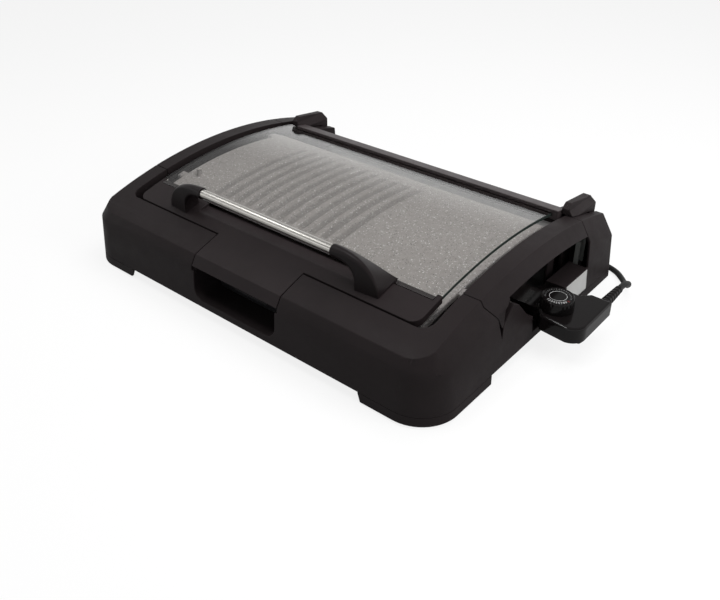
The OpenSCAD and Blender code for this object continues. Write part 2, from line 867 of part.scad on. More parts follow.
// Cast post under the plate that the probe reaches into
module sensor_block() {
    x1 = probe_x0 + 28;
    y0 = socket_y - 8;
    y1 = socket_y + 8;
    color([0.66, 0.66, 0.67]) placed() difference() {
        intersection() {
            box(probe_x0 - 2, x1, y0, y1, socket_z - 8, far);
            under_arch(plate_drop + plate_t + slip);
        }
        bar_x(probe_x0 - 4, x1 + 1, socket_y, socket_z, probe_d / 2 + slip);
    }
}

module drip_drawer() {
    r = mouth_r - drawer_gap;
    y1 = drawer_set + drawer_d;
    z1 = drawer_z0 + drawer_h;
    color([0.12, 0.12, 0.13]) placed() {
        difference() {
            along_y(drawer_set, y1) trough(drawer_x, drawer_z0, z1, r);
            along_y(drawer_set + drawer_t, y1 - drawer_t)
                trough(drawer_x - drawer_t, drawer_z0 + drawer_t, far, r - drawer_t);
        }
        box(-26, 26, drawer_set - 8, drawer_set, z1 - 16, z1 - 14);
    }
}

// Plan of the lid's front frame with its tongue
module lid_frame_plan() {
    y0 = well_y + lid_gap;
    r = well_r - 2;
    round_rect(-lid_x, lid_x, y0, frame_back, r);
    translate([-lid_x, y0 + r]) square([lid_w, frame_back - y0 - r]);
    translate([-tongue_w / 2, -5]) square([tongue_w, y0 + 6]);
}

module lid_frame() {
    y0 = well_y + lid_gap;
    dip_r = 60;
    dip = 2.6;
    dip_y = 72;
    color([0.15, 0.14, 0.14]) placed() difference() {
        intersection() {
            outer_form();
            linear_extrude(far) lid_frame_plan();
        }
        difference() {
            box(-far, far, -10, y0, 0, far);
            difference() {
                box(-far, far, -10, y0 + 1, band_z, far);
                outer_form(tongue_t, tongue_t);
            }
        }
        intersection() {
            box(-lid_w, lid_w, y0, base_d, 0, far);
            under_arch(frame_t);
        }
        bar_x(-122, 122, dip_y, arch_at(dip_y) + dip_r - dip, dip_r);
        arched_layer(-lid_x + 6 - fit, lid_x - 6 + fit, frame_back - 9, frame_back + 1,
            -1, glass_t + fit);
        for (s = [-1, 1], x = post_screws)
            translate([s * x, post_screw_y, 0]) cylinder(d = 4.3, h = far);
    }
}

module lid_glass() {
    color([0.75, 0.78, 0.80, 0.35]) placed() intersection() {
        arched_layer(-lid_x, lid_x, frame_back - 9 + fit, rail_front + rail_d - 4, 0, glass_t);
        union() {
            box(-lid_x + 6, lid_x - 6, 0, frame_back + 2, 0, far);
            box(-lid_x, lid_x, frame_back + fit, base_d, 0, far);
        }
    }
}

// Channel along the glass's rear edge
module rear_rail() {
    lip = 3;
    color([0.10, 0.09, 0.09]) placed() difference() {
        arched_layer(rail_x0, rail_x1, rail_front, rail_front + rail_d,
            -rail_up, glass_t + lip + fit);
        arched_layer(rail_x0 - 1, lid_x + fit, rail_front - 1, rail_front + rail_d - 4 + fit,
            -fit, glass_t + fit);
    }
}

// Side view of a hinge bracket above the arched top
module bracket_outline() {
    front = rail_front + 8;
    back = hinge_y + 6.5;
    top = arch_at(back) + bracket_up;
    polygon([[front, 80], [front, arch_at(front) + 8], [front + 7.5, arch_at(front) + 13.5],
        [back - 4, top], [back - 2.5, top - 3], [back, top - 8], [back, 80]]);
}

// A bracket with its left face at x0; side says towards which side its tab reaches the rail
module hinge_bracket(x0, side) {
    x1 = x0 + bracket_w;
    lug_r = 8.5;
    tab_back = block_front - 5;
    tab_drop = glass_t + 3 + 2 * fit;
    inner = side < 0 ? x0 - 20 : x1 + 20;
    difference() {
        union() {
            difference() {
                along_x(x0, x1) bracket_outline();
                under_arch(-0.7);
                bevel_cut(x0);
            }
            arched_layer(max(x0, -lid_x), min(x1, well_x - 2), rail_front + rail_d - 4 + 2 * fit,
                tab_back, -1, tab_drop + 3);
            arched_layer(min(inner, x0), max(inner, min(x1, well_x - 2)), rail_front + 2,
                tab_back, tab_drop, tab_drop + 3);
            bar_x(x0, x1, hinge_y, hinge_z, lug_r);
            box(x0, x1, hinge_y - 7, hinge_y + 6.5, hinge_z, arch_at(hinge_y) + 2);
        }
        bar_x(x0 - 1, x1 + 1, hinge_y, hinge_z, hinge_d / 2 + 0.08);
    }
}

// Slanted cut along a bracket's right upper edge
module bevel_cut(x0) {
    top = arch_at(hinge_y) + bracket_up + 8;
    along_y(rail_front - 5, base_d + 5)
        polygon([[x0 + 10 - 8, top + 8], [x0 + 10, top - 9], [x0 + 10, top - 10],
            [x0 + bracket_w, top - 19], [x0 + bracket_w + 9, top - 19], [x0 + bracket_w + 9, top + 8]]);
}

module hinge_bracket_left() {
    color([0.13, 0.12, 0.13]) placed() hinge_bracket(bracket_left, 1);
}

module hinge_bracket_right() {
    color([0.13, 0.12, 0.13]) placed() hinge_bracket(bracket_right, -1);
}

// Section of a handle post across X, from s = 0 at the tube to s = 1 at the outer tip
module post_section(s) {
    t = 0.4;
    r = (tube_d / 2 + 1.6) * (1 - s) + 2 * s;
    foot = arch_at(tube_y) + 1;
    ridge = foot + (tube_z + tube_d / 2 + 1.6 - foot) * pow(1 - pow(s, 2.6), 0.55);
    rear = foot + 8 + (tube_z + tube_d / 2 + 1.6 - foot - 8) * pow(1 - pow(s, 1.7), 1.15);
    rear_y = tube_y + (frame_back - 3.5 - tube_y) * pow(s, 1.3);
    k = min(s / 0.52, 1);
    bottom = foot + (tube_z - tube_d / 2 - 1.6 - foot) * pow(1 - pow(k, 3), 0.4) - 10 * floor(k);
    x = tube_len / 2 + (post_tip - tube_len / 2 - t) * s;
    for (z = [ridge - r, min(bottom + r, ridge - r)])
        bar_x(x, x + t, tube_y, z, r, $fn = 28);
    for (z = [rear - r, min(bottom + r, rear - r)])
        bar_x(x, x + t, rear_y, z, r, $fn = 28);
}

// Curved post that carries one end of the handle tube
module handle_post(side) {
    x0 = tube_len / 2;
    steps = [0, 0.12, 0.28, 0.42, 0.52, 0.68, 0.85, 1];
    mirror([side < 0 ? 1 : 0, 0, 0]) difference() {
        for (i = [1 : len(steps) - 1]) hull() {
            post_section(steps[i - 1]);
            post_section(steps[i]);
        }
        under_arch(-0.1);
        bar_x(x0 - 5, x0 + 12, tube_y, tube_z, tube_d / 2 + slip);
        for (x = post_screws)
            translate([x, post_screw_y, 0]) cylinder(d = 3.9, h = arch_at(post_screw_y) + 8);
    }
}

module handle_post_left() {
    color([0.12, 0.11, 0.11]) placed() handle_post(-1);
}

module handle_post_right() {
    color([0.12, 0.11, 0.11]) placed() handle_post(1);
}

module handle_tube() {
    x = tube_len / 2 + 11.8;
    color([0.80, 0.80, 0.79]) placed() difference() {
        bar_x(-x, x, tube_y, tube_z, tube_d / 2);
        bar_x(-x - 1, x + 1, tube_y, tube_z, tube_d / 2 - tube_wall);
    }
}

module handle_screws() {
    color([0.62, 0.62, 0.63]) placed()
        for (s = [-1, 1], x = post_screws) translate([s * x, post_screw_y, 0]) {
            under = arch_at(post_screw_y - 4, frame_t) - 0.1;
            translate([0, 0, under - 2.4]) cylinder(r = 3.8, h = 2.4);
            translate([0, 0, under - 1]) cylinder(d = 3.8, h = frame_t + 7);
        }
}

// Plan of the controller's body
module controller_plan(inset) {
    c = 18 - inset;
    x0 = hw - 9 + inset;
    x1 = ctrl_x1 - inset;
    y0 = ctrl_front + inset;
    y1 = ctrl_back - inset;
    difference() {
        translate([x0, y0]) square([x1 - x0, y1 - y0]);
        polygon([[x0 - 1, y0 - 1], [ctrl_x1 - 15, y0 - 1], [ctrl_x1 - 15, y0],
            [hw + 6 + inset, y0 + ctrl_lean], [x0, y0 + 17 + ctrl_lean], [x0 - 1, y0 + 17 + ctrl_lean]]);
        polygon([[x0 - 1, y1 + 1], [x0 - 1, low_wall_front - 12 - inset],
            [hw + 18 + inset, low_wall_front - 12 - inset], [hw + 30 + inset, y1 + 1]]);
        translate([x1 - c, y0 - 1]) difference() {
            square([c + 1, c + 1]);
            translate([0, c + 1]) circle(r = c);
        }
    }
}

// Outer form of the controller with its neck
module controller_form(inset) {
    neck_w = pin_gap + 13.4;
    neck_h = 18.4;
    translate([0, 0, ctrl_z0 + inset]) linear_extrude(ctrl_h - 2 * inset) controller_plan(inset);
    box(probe_x1 + inset, hw, socket_y - neck_w / 2 + inset, socket_y + neck_w / 2 - inset,
        socket_z - neck_h / 2 + inset, socket_z + neck_h / 2 - inset);
}

// Everything inside the controller that its shells leave free
module controller_holes() {
    difference() {
        controller_form(ctrl_t);
        for (p = controller_screw_spots()) translate([p[0], p[1], 0]) cylinder(r = 4, h = far);
        translate([knob_x, knob_y, ctrl_z0 - 1]) cylinder(r = spindle_d / 2 + 2, h = ctrl_h / 2);
    }
    for (s = [-1, 1])
        bar_x(probe_x1 - 1, probe_x1 + 5, socket_y + s * pin_gap / 2, socket_z, contact_d / 2 + 1);
    bar_x(probe_x1 - 1, probe_x1 + 5, socket_y, socket_z, probe_d / 2 + slip);
    translate([knob_x, knob_y, ctrl_z0 + 4]) cylinder(r = spindle_d / 2 + slip, h = far);
    for (p = controller_screw_spots()) translate([p[0], p[1], 0]) {
        cylinder(d = 3.1, h = ctrl_z1 - 4);
        cylinder(r = 2.9, h = ctrl_z0 + 1.8);
    }
    translate([relief_x, ctrl_back - 5, relief_z]) rotate([-90, 0, 0])
        cylinder(r = relief_r - 2, h = 10);
    translate([lens_x, lens_y, ctrl_z1 - 4]) cylinder(d = lens_d + 2 * slip, h = 10);
}

function controller_screw_spots() = [[hw + 6, ctrl_front + 50], [ctrl_x1 - 9, ctrl_front + 16],
    [ctrl_x1 - 25, ctrl_back - 14]];

module controller_base() {
    color([0.06, 0.06, 0.07]) placed() difference() {
        intersection() {
            controller_form(0);
            box(0, 2 * hw, 0, base_d, 0, socket_z - slip);
        }
        controller_holes();
    }
}

module controller_cover() {
    color([0.05, 0.05, 0.06]) placed() difference() {
        intersection() {
            controller_form(0);
            box(0, 2 * hw, 0, base_d, socket_z, far);
        }
        controller_holes();
    }
}

module controller_screws() {
    color([0.60, 0.60, 0.61]) placed()
        for (p = controller_screw_spots()) translate([p[0], p[1], ctrl_z0]) {
            translate([0, 0, 0.2]) cylinder(r = 2.7, h = 1.5);
            translate([0, 0, 1]) cylinder(d = 3, h = ctrl_h - 6);
        }
}

// Contact sleeves that slide over the two pins
module contact_sleeves() {
    color([0.78, 0.66, 0.38]) placed()
        for (s = [-1, 1]) difference() {
            bar_x(probe_x1 + 0.5, probe_x1 + 26, socket_y + s * pin_gap / 2, socket_z,
                contact_d / 2 + 0.9);
            bar_x(probe_x1, probe_x1 + 16, socket_y + s * pin_gap / 2, socket_z,
                contact_d / 2 + 0.1);
        }
}

module temperature_probe() {
    color([0.76, 0.76, 0.77]) placed() {
        bar_x(probe_x0, probe_x1 + 24, socket_y, socket_z, probe_d / 2);
        translate([probe_x0, socket_y, socket_z]) sphere(d = probe_d);
    }
}

module indicator_lens() {
    color([0.80, 0.10, 0.06]) placed()
        translate([lens_x, lens_y, ctrl_z1 - 3]) cylinder(d = lens_d, h = 3.6);
}

module control_knob() {
    grips = 24;
    skirt_h = 3;
    color([0.07, 0.07, 0.07]) placed() translate([knob_x, knob_y, ctrl_z1 + fit]) difference() {
        union() {
            cylinder(d = knob_d, h = skirt_h);
            cylinder(d = knob_d - 2.4, h = knob_h);
        }
        for (i = [0 : grips - 1]) rotate([0, 0, (i + 0.5) * 360 / grips])
            translate([knob_d / 2 - 0.6, 0, skirt_h + 0.6]) cylinder(r = 1.3, h = knob_h, $fn = 24);
        translate([0, 0, -1]) cylinder(d = spindle_d + 2 * slip, h = knob_h - 3);
        translate([0, 0, knob_h - 1]) difference() {
            cylinder(r = ring_r + slip, h = 2);
            translate([0, 0, -1]) cylinder(r = ring_r - ring_w - slip, h = 4);
        }
    }
}

module knob_ring() {
    color([0.82, 0.82, 0.83]) placed() translate([knob_x, knob_y, ctrl_z1 + fit + knob_h - 1])
        difference() {
            cylinder(r = ring_r, h = 1.4);
            translate([0, 0, -1]) cylinder(r = ring_r - ring_w, h = 4);
        }
}

module knob_spindle() {
    color([0.70, 0.70, 0.71]) placed() translate([knob_x, knob_y, ctrl_z0 + 4.2])
        cylinder(d = spindle_d, h = ctrl_h - 4 + knob_h - 4);
}

// Tapered sleeve that keeps the cord from bending sharply at the controller
module strain_relief() {
    rib_n = 6;
    neck_r = relief_r - 2 - slip;
    end_r = cord_d / 2 + 1;
    color([0.08, 0.08, 0.08]) placed() translate([relief_x, ctrl_back, relief_z]) rotate([-90, 0, 0])
        difference() {
            union() {
                translate([0, 0, -ctrl_t - 1.5]) cylinder(r = neck_r + 0.6, h = 1.4);
                translate([0, 0, -ctrl_t - 1]) cylinder(r = neck_r, h = ctrl_t + 2);
                translate([0, 0, slip]) cylinder(r1 = relief_r - 0.6, r2 = end_r, h = relief_len);
                for (i = [0 : rib_n - 1]) translate([0, 0, slip + i * 6]) cylinder(
                    r = relief_r - (relief_r - end_r) * i * 6 / relief_len, h = 3);
            }
            translate([0, 0, relief_len - 5]) cylinder(d = cord_d + 2 * slip, h = 10);
        }
}

// Ring of points around one point of a route, square to the way the route runs there
function route_ring(route, i, r, sides) =
    let (a = route[max(i - 1, 0)], b = route[min(i + 1, len(route) - 1)],
        t = (b - a) / norm(b - a), s = cross(t, [0, 0, 1]) / norm(cross(t, [0, 0, 1])),
        u = cross(s, t))
    [for (k = [0 : sides - 1]) let (w = (k + 0.5) * 360 / sides)
        route[i] + r / cos(180 / sides) * (cos(w) * s + sin(w) * u)];

// A tube along a route of points
module route_tube(route, d, sides = 10) {
    n = len(route);
    points = [for (i = [0 : n - 1]) each route_ring(route, i, d / 2 * cos(180 / sides), sides)];
    sides_faces = [for (i = [0 : n - 2], k = [0 : sides - 1])
        let (k2 = (k + 1) % sides, p = i * sides)
        each [[p + k, p + k2, p + sides + k2], [p + k, p + sides + k2, p + sides + k]]];
    ends = [[for (k = [sides - 1 : -1 : 0]) k], [for (k = [0 : sides - 1]) (n - 1) * sides + k]];
    polyhedron(points = points, faces = concat(sides_faces, ends));
}

module power_cord() {
    color([0.06, 0.06, 0.06]) placed() route_tube(cord_route, cord_d);
}

module plug_lead() {
    color([0.06, 0.06, 0.06]) placed() route_tube(lead_route, cord_d);
}

module cord_coil() {
    color([0.06, 0.06, 0.06]) placed() translate([coil_x, coil_y, 0]) rotate_extrude()
        translate([coil_r - coil_rings * cord_d / 2, 0])
        square([coil_rings * cord_d, coil_layers * cord_d]);
}

// Strap around the coil, at the side towards the plug
module cord_tie() {
    band_w = 10;
    t = 0.8;
    thick = coil_rings * cord_d;
    high = coil_layers * cord_d;
    color([0.10, 0.10, 0.10]) placed() translate([coil_x, coil_y - band_w / 2, 0]) difference() {
        translate([-coil_r - thick / 2 - t - 0.4, 0, 0]) cube([thick + 2 * t + 0.4, band_w, high + t]);
        translate([-coil_r - thick / 2 - 0.4, -1, t]) cube([thick + 0.4, band_w + 2, high - t]);
    }
}

// Two-pin earthed mains plug, lying with its pins towards -X
module plug_body() {
    color([0.07, 0.07, 0.07]) placed() translate([plug_x, plug_y, plug_z]) rotate([0, 90, 0])
        difference() {
            rotate_extrude() polygon([[0, 0], [plug_r - 1.2, 0], [plug_r, 1.2], [plug_r, 13],
                [plug_r - 5, 17], [11, 24], [9.5, 38], [cord_d / 2 + 3, 44],
                [cord_d / 2 + 1.2, 62], [0, 62]]);
            for (s = [-1, 1]) {
                translate([s * 9.5, 0, -1]) cylinder(r = 2.4 + slip, h = 9);
                translate([0, s * (plug_r + 0.5), -1]) cylinder(r = 4, h = 12);
            }
            translate([0, 0, 56]) cylinder(d = cord_d + 2 * slip, h = 10);
        }
}

module plug_pins() {
    color([0.78, 0.78, 0.79]) placed() translate([plug_x, plug_y, plug_z]) rotate([0, 90, 0])
        for (s = [-1, 1]) translate([s * 9.5, 0, -19]) {
            translate([0, 0, 1]) cylinder(r = 2.4, h = 26);
            cylinder(r1 = 1.8, r2 = 2.4, h = 1);
        }
}

base_housing();
corner_legs();
side_arch_left();
side_arch_right();
floor_pan();
floor_screws();
rubber_feet();
rating_plate();
retaining_strip();
hinge_pins();
heat_reflector();
drawer_rails();
grill_plate();
heating_element();
terminal_pins();
terminal_shroud();
socket_bracket();
sensor_block();
drip_drawer();
lid_frame();
lid_glass();
rear_rail();
hinge_bracket_left();
hinge_bracket_right();
handle_post_left();
handle_post_right();
handle_tube();
handle_screws();
controller_base();
controller_cover();
controller_screws();
contact_sleeves();
temperature_probe();
indicator_lens();
control_knob();
knob_ring();
knob_spindle();
strain_relief();
power_cord();
cord_coil();
cord_tie();
plug_lead();
plug_body();
plug_pins();
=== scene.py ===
"""Looks of a countertop electric grill with a hinged glass lid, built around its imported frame.

Working coordinates are millimetres from the front wall (y) and the base's middle (x), as in the
part's source. spot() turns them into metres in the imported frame.
"""

from __future__ import annotations

import json
import logging
import math
from collections.abc import Callable
from dataclasses import dataclass
from enum import Enum

import bmesh
import bpy
from mathutils import Matrix, Vector
from mathutils.bvhtree import BVHTree

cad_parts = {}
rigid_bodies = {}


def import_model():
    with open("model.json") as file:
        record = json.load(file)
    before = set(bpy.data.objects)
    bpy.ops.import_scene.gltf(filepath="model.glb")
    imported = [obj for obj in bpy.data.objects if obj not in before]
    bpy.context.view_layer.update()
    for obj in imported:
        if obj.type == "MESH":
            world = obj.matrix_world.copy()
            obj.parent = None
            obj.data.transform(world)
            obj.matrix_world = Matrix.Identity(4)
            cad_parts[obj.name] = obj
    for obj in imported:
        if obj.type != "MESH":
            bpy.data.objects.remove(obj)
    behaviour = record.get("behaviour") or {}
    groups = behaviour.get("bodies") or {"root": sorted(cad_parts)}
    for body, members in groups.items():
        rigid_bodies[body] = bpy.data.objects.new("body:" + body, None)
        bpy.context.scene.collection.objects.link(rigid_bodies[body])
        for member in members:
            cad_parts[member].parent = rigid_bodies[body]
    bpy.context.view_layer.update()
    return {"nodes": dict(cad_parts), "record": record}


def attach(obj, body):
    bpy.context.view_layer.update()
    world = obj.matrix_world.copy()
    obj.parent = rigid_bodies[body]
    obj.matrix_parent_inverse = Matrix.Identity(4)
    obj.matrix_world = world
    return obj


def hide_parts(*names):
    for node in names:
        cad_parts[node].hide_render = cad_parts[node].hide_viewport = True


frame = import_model()
LOG = logging.getLogger("grill")

MM = 0.001
SHIFT = Vector((0.0265805, 0.195, 0.0))
ARCH_R, CROWN_Z, CROWN_Y = 600.0, 108.5, 215.0
Point = tuple[float, float, float]
MERGE = 3e-6  # metres within which points of a CAD node are one
FLAT = 0.35  # degrees by which faces of a CAD node may differ and still be one face
STRAY = 0.45  # share of an eased edge's width that its points may leave the solid's skin


def spot(x: float, y: float, z: float) -> Vector:
    """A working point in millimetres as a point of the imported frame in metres."""
    return Vector((x * MM, y * MM, z * MM)) - SHIFT


def arch_z(y: float, drop: float = 0.0) -> float:
    """Height of the arched top, or of an arch sunk below it.

    Args:
        y: Distance behind the front wall, in millimetres.
        drop: Depth below the arched top, in millimetres.

    Returns:
        The height above the table, in millimetres.
    """
    return CROWN_Z - ARCH_R + math.sqrt((ARCH_R - drop) ** 2 - (y - CROWN_Y) ** 2)


def smooth(t: float) -> float:
    """Smooth step of a share, held within 0 and 1."""
    t = min(max(t, 0.0), 1.0)
    return t * t * (3.0 - 2.0 * t)


class Side(Enum):
    """The two sides of the grill, as the sign of x."""

    LEFT = -1
    RIGHT = 1


# ---------------------------------------------------------------- materials


class Tree:
    """A node tree in the making."""

    tree: bpy.types.NodeTree
    prefix = ""

    def node(self, kind: str, setup: dict | None = None, **values: object) -> bpy.types.Node:
        """Adds a node.

        Args:
            kind: The node's type, without the tree's prefix.
            setup: Values of the node's own properties.
            values: A value or a socket for each input, with _ for a space.

        Returns:
            The new node.
        """
        made = self.tree.nodes.new(self.prefix + kind)
        for key, value in (setup or {}).items():
            setattr(made, key, value)
        for key, value in values.items():
            self.feed(made.inputs[key.replace("_", " ")], value)
        return made

    def feed(self, socket: bpy.types.NodeSocket, value: object) -> None:
        """Links a socket to an input, or sets the input's own value.

        Args:
            socket: The input.
            value: A socket, or a plain value.
        """
        if isinstance(value, bpy.types.NodeSocket):
            self.tree.links.new(value, socket)
        else:
            socket.default_value = value

    def maths(self, job: str, *values: object) -> bpy.types.NodeSocket:
        """Works out one sum, product or comparison.

        Args:
            job: The operation's name.
            values: A value or a socket for each input.

        Returns:
            The result's socket.
        """
        made = self.tree.nodes.new("ShaderNodeMath")
        made.operation = job
        for socket, value in zip(made.inputs, values):
            self.feed(socket, value)
        return made.outputs[0]


class Recipe(Tree):
    """A node tree in the making, for one material."""

    prefix = "ShaderNode"

    def __init__(self, name: str) -> None:
        """Starts an empty material.

        Args:
            name: The material's name.
        """
        self.material = bpy.data.materials.new(name)
        self.material.use_nodes = True
        self.tree = self.material.node_tree
        self.tree.nodes.clear()
        self.output = self.tree.nodes.new("ShaderNodeOutputMaterial")
        self.coords = self.tree.nodes.new("ShaderNodeTexCoord").outputs["Object"]

    def stretched(self, scale: Point) -> bpy.types.NodeSocket:
        """Object coordinates scaled on each axis."""
        return self.node("Mapping", Vector=self.coords, Scale=scale).outputs["Vector"]

    def noise(self, scale: float, detail: float = 3.0, rough: float = 0.55,
              vector: bpy.types.NodeSocket | None = None) -> bpy.types.NodeSocket:
        """A noise pattern.

        Args:
            scale: Repeats for each metre.
            detail: Octaves of detail.
            rough: Weight of the finer octaves.
            vector: Coordinates, or None for object coordinates.

        Returns:
            The pattern's value socket, from 0 to 1.
        """
        return self.node("TexNoise", Vector=vector or self.coords, Scale=scale, Detail=detail,
                         Roughness=rough).outputs["Fac"]

    def spread(self, value: bpy.types.NodeSocket, low: float, high: float,
               start: float = 0.3, end: float = 0.7) -> bpy.types.NodeSocket:
        """Maps a range of a value to another range.

        Args:
            value: The socket to map.
            low: The result at start.
            high: The result at end.
            start: Lower end of the input range.
            end: Upper end of the input range.

        Returns:
            The mapped value's socket.
        """
        made = self.node("MapRange", Value=value, From_Min=start, From_Max=end,
                         To_Min=low, To_Max=high)
        return made.outputs["Result"]

    def blend(self, share: object, first: object, second: object) -> bpy.types.NodeSocket:
        """Mixes two colours.

        Args:
            share: Share of the second colour.
            first: The colour at a share of 0.
            second: The colour at a share of 1.

        Returns:
            The mixed colour's socket.
        """
        made = self.node("Mix", {"data_type": "RGBA"})
        for index, value in ((0, share), (6, first), (7, second)):
            self.feed(made.inputs[index], value)
        return made.outputs[2]

    def relief(self, height: bpy.types.NodeSocket, depth: float, strength: float = 1.0,
               normal: bpy.types.NodeSocket | None = None) -> bpy.types.NodeSocket:
        """Fine relief from a height pattern.

        Args:
            height: The pattern.
            depth: Its depth, in metres.
            strength: Share of the relief that shows.
            normal: Relief that lies under it.

        Returns:
            The normal's socket.
        """
        made = self.node("Bump", Height=height, Distance=depth, Strength=strength)
        if normal is not None:
            self.feed(made.inputs["Normal"], normal)
        return made.outputs["Normal"]

    def finish(self, **values: object) -> bpy.types.Material:
        """Ends the tree in one Principled shader.

        Args:
            values: Inputs of the shader, with _ for a space.

        Returns:
            The finished material.
        """
        shader = self.node("BsdfPrincipled", **values)
        self.tree.links.new(shader.outputs[0], self.output.inputs["Surface"])
        return self.material


def grey(value: float, warm: float = 0.0) -> tuple[float, float, float, float]:
    """A linear grey, redder with a positive second value."""
    return (value * (1 + warm), value, value * (1 + warm * 0.15), 1.0)


def shaded(tone: tuple, by: float) -> tuple[float, float, float, float]:
    """A colour made darker or lighter by a factor."""
    return (tone[0] * by, tone[1] * by, tone[2] * by, 1.0)


@dataclass(frozen=True)
class MouldedPlastic:
    """Matte or glossy moulded plastic with its fine grain."""

    name: str
    tone: float = 0.02
    warm: float = 0.06
    rough: float = 0.5
    shine: float = 0.35
    grain: float = 0.00002
    grain_scale: float = 1500.0

    def make(self) -> bpy.types.Material:
        """Builds a faintly cloudy tone with fine grain and an uneven sheen.

        Returns:
            The finished material.
        """
        r = Recipe(self.name)
        cloud = r.noise(14.0, detail=4.0)
        grain = r.noise(self.grain_scale, detail=2.0, rough=0.6)
        rub = r.noise(60.0, detail=5.0, rough=0.7)
        colour = r.blend(r.spread(cloud, 0.0, 1.0), grey(self.tone * 0.9, self.warm),
                         grey(self.tone * 1.12, self.warm))
        rough = r.maths("ADD", r.spread(rub, self.rough - 0.05, self.rough + 0.06),
                        r.spread(grain, -0.02, 0.02))
        return r.finish(
            Base_Color=colour, Roughness=rough, Specular_IOR_Level=self.shine,
            Normal=r.relief(grain, self.grain, 1.0))


@dataclass(frozen=True)
class GraniteCoat:
    """Speckled grey non-stick coating on cast metal."""

    name: str = "granite_coating"
    base: tuple = (0.298, 0.279, 0.272, 1.0)
    flecks: tuple = ((590.0, 0.78, 0.52), (470.0, 0.90, 0.70), (540.0, 0.82, 0.09))
    painted_groove_shade: float = 0.36

    def make(self) -> bpy.types.Material:
        """Builds mottled grey with pale and dark flecks, and painted shade darkening the grooves.

        Returns:
            The finished material.
        """
        r = Recipe(self.name)
        mottle = r.noise(160.0, detail=4.0, rough=0.7)
        fine = r.noise(1300.0, detail=2.0, rough=0.8)
        light = shaded(self.base, 1.22)
        ground = r.blend(r.spread(mottle, 0.25, 0.75), shaded(self.base, 0.62), light)
        ground = r.blend(r.spread(fine, 0.0, 0.55, 0.35, 0.75), ground, light)
        for scale, chance, tone in self.flecks:
            ground = r.blend(self.fleck(r, scale, chance), ground, grey(tone))
        # Painted shade: near-black laid over the coating towards each groove's floor, by the groove
        # depth in the hollow attribute.
        hollow = r.node("Attribute", {"attribute_name": "hollow"}).outputs["Fac"]
        shade = r.spread(hollow, 0.0, self.painted_groove_shade, 0.15, 1.0)
        ground = r.blend(shade, ground, grey(0.05, 0.06))
        bump = r.relief(fine, 0.00004, 0.7)
        return r.finish(Base_Color=ground, Roughness=r.spread(fine, 0.42, 0.6),
                        Specular_IOR_Level=0.25, Normal=r.relief(mottle, 0.00008, 0.5, bump))

    @staticmethod
    def fleck(r: Recipe, scale: float, chance: float) -> bpy.types.NodeSocket:
        """Small round flecks in a few random cells.

        Args:
            r: The recipe they go into.
            scale: Cells for each metre.
            chance: Share of the cells that stay empty.

        Returns:
            A socket that is 1 on a fleck and 0 beside it.
        """
        cell = r.node("TexVoronoi", Vector=r.coords, Scale=scale)
        part = r.node("SeparateColor", Color=cell.outputs["Color"]).outputs[0]
        chosen = r.maths("GREATER_THAN", part, chance)
        inside = r.spread(cell.outputs["Distance"], 1.0, 0.0, 0.22, 0.42)
        return r.maths("MULTIPLY", chosen, inside)


@dataclass(frozen=True)
class BrushedMetal:
    """Metal with fine lines along one axis."""

    name: str
    tone: tuple = (0.72, 0.70, 0.66, 1.0)
    rough: float = 0.27
    lines: tuple = (12.0, 2600.0, 2600.0)
    depth: float = 0.000006

    def make(self) -> bpy.types.Material:
        """Builds metal with fine lines in its tone, sheen and relief.

        Returns:
            The finished material.
        """
        r = Recipe(self.name)
        lines = r.noise(1.0, detail=3.0, rough=0.7, vector=r.stretched(self.lines))
        cloud = r.noise(40.0, detail=3.0)
        colour = r.blend(r.spread(lines, 0.0, 1.0), shaded(self.tone, 0.86), self.tone)
        rough = r.maths("ADD", r.spread(lines, self.rough - 0.06, self.rough + 0.08),
                        r.spread(cloud, -0.03, 0.03))
        return r.finish(Base_Color=colour, Metallic=1.0, Roughness=rough,
                        Normal=r.relief(lines, self.depth, 0.8))


@dataclass(frozen=True)
class CastMetal:
    """Plain or cast metal with a slightly uneven skin."""

    name: str
    tone: tuple = (0.60, 0.60, 0.61, 1.0)
    rough: float = 0.38
    skin: float = 0.00003
    scale: float = 500.0

    def make(self) -> bpy.types.Material:
        """Builds metal with a cloudy tone and an uneven skin.

        Returns:
            The finished material.
        """
        r = Recipe(self.name)
        skin = r.noise(self.scale, detail=4.0, rough=0.65)
        cloud = r.noise(45.0, detail=4.0, rough=0.6)
        darker = shaded(self.tone, 0.72)
        return r.finish(
            Base_Color=r.blend(r.spread(cloud, 0.0, 1.0), darker, self.tone), Metallic=1.0,
            Roughness=r.spread(skin, self.rough - 0.08, self.rough + 0.1),
            Normal=r.relief(skin, self.skin, 0.8))


@dataclass(frozen=True)
class HeatTint:
    """Steel that the heat has tinted brown and blue."""

    name: str = "heater_steel"
    brown: tuple = (0.16, 0.11, 0.075, 1.0)
    blue: tuple = (0.13, 0.13, 0.17, 1.0)
    film: tuple = (0.06, 0.055, 0.05, 1.0)

    def make(self) -> bpy.types.Material:
        """Builds steel with bands of brown and blue under a dark film.

        Returns:
            The finished material.
        """
        r = Recipe(self.name)
        band = r.noise(18.0, detail=2.0, rough=0.4)
        skin = r.noise(700.0, detail=3.0, rough=0.7)
        colour = r.blend(r.spread(band, 0.0, 1.0, 0.35, 0.65), self.brown, self.blue)
        colour = r.blend(r.spread(skin, 0.0, 0.5), colour, self.film)
        return r.finish(Base_Color=colour, Metallic=0.85, Roughness=r.spread(skin, 0.38, 0.6),
                        Normal=r.relief(skin, 0.00003, 0.8))


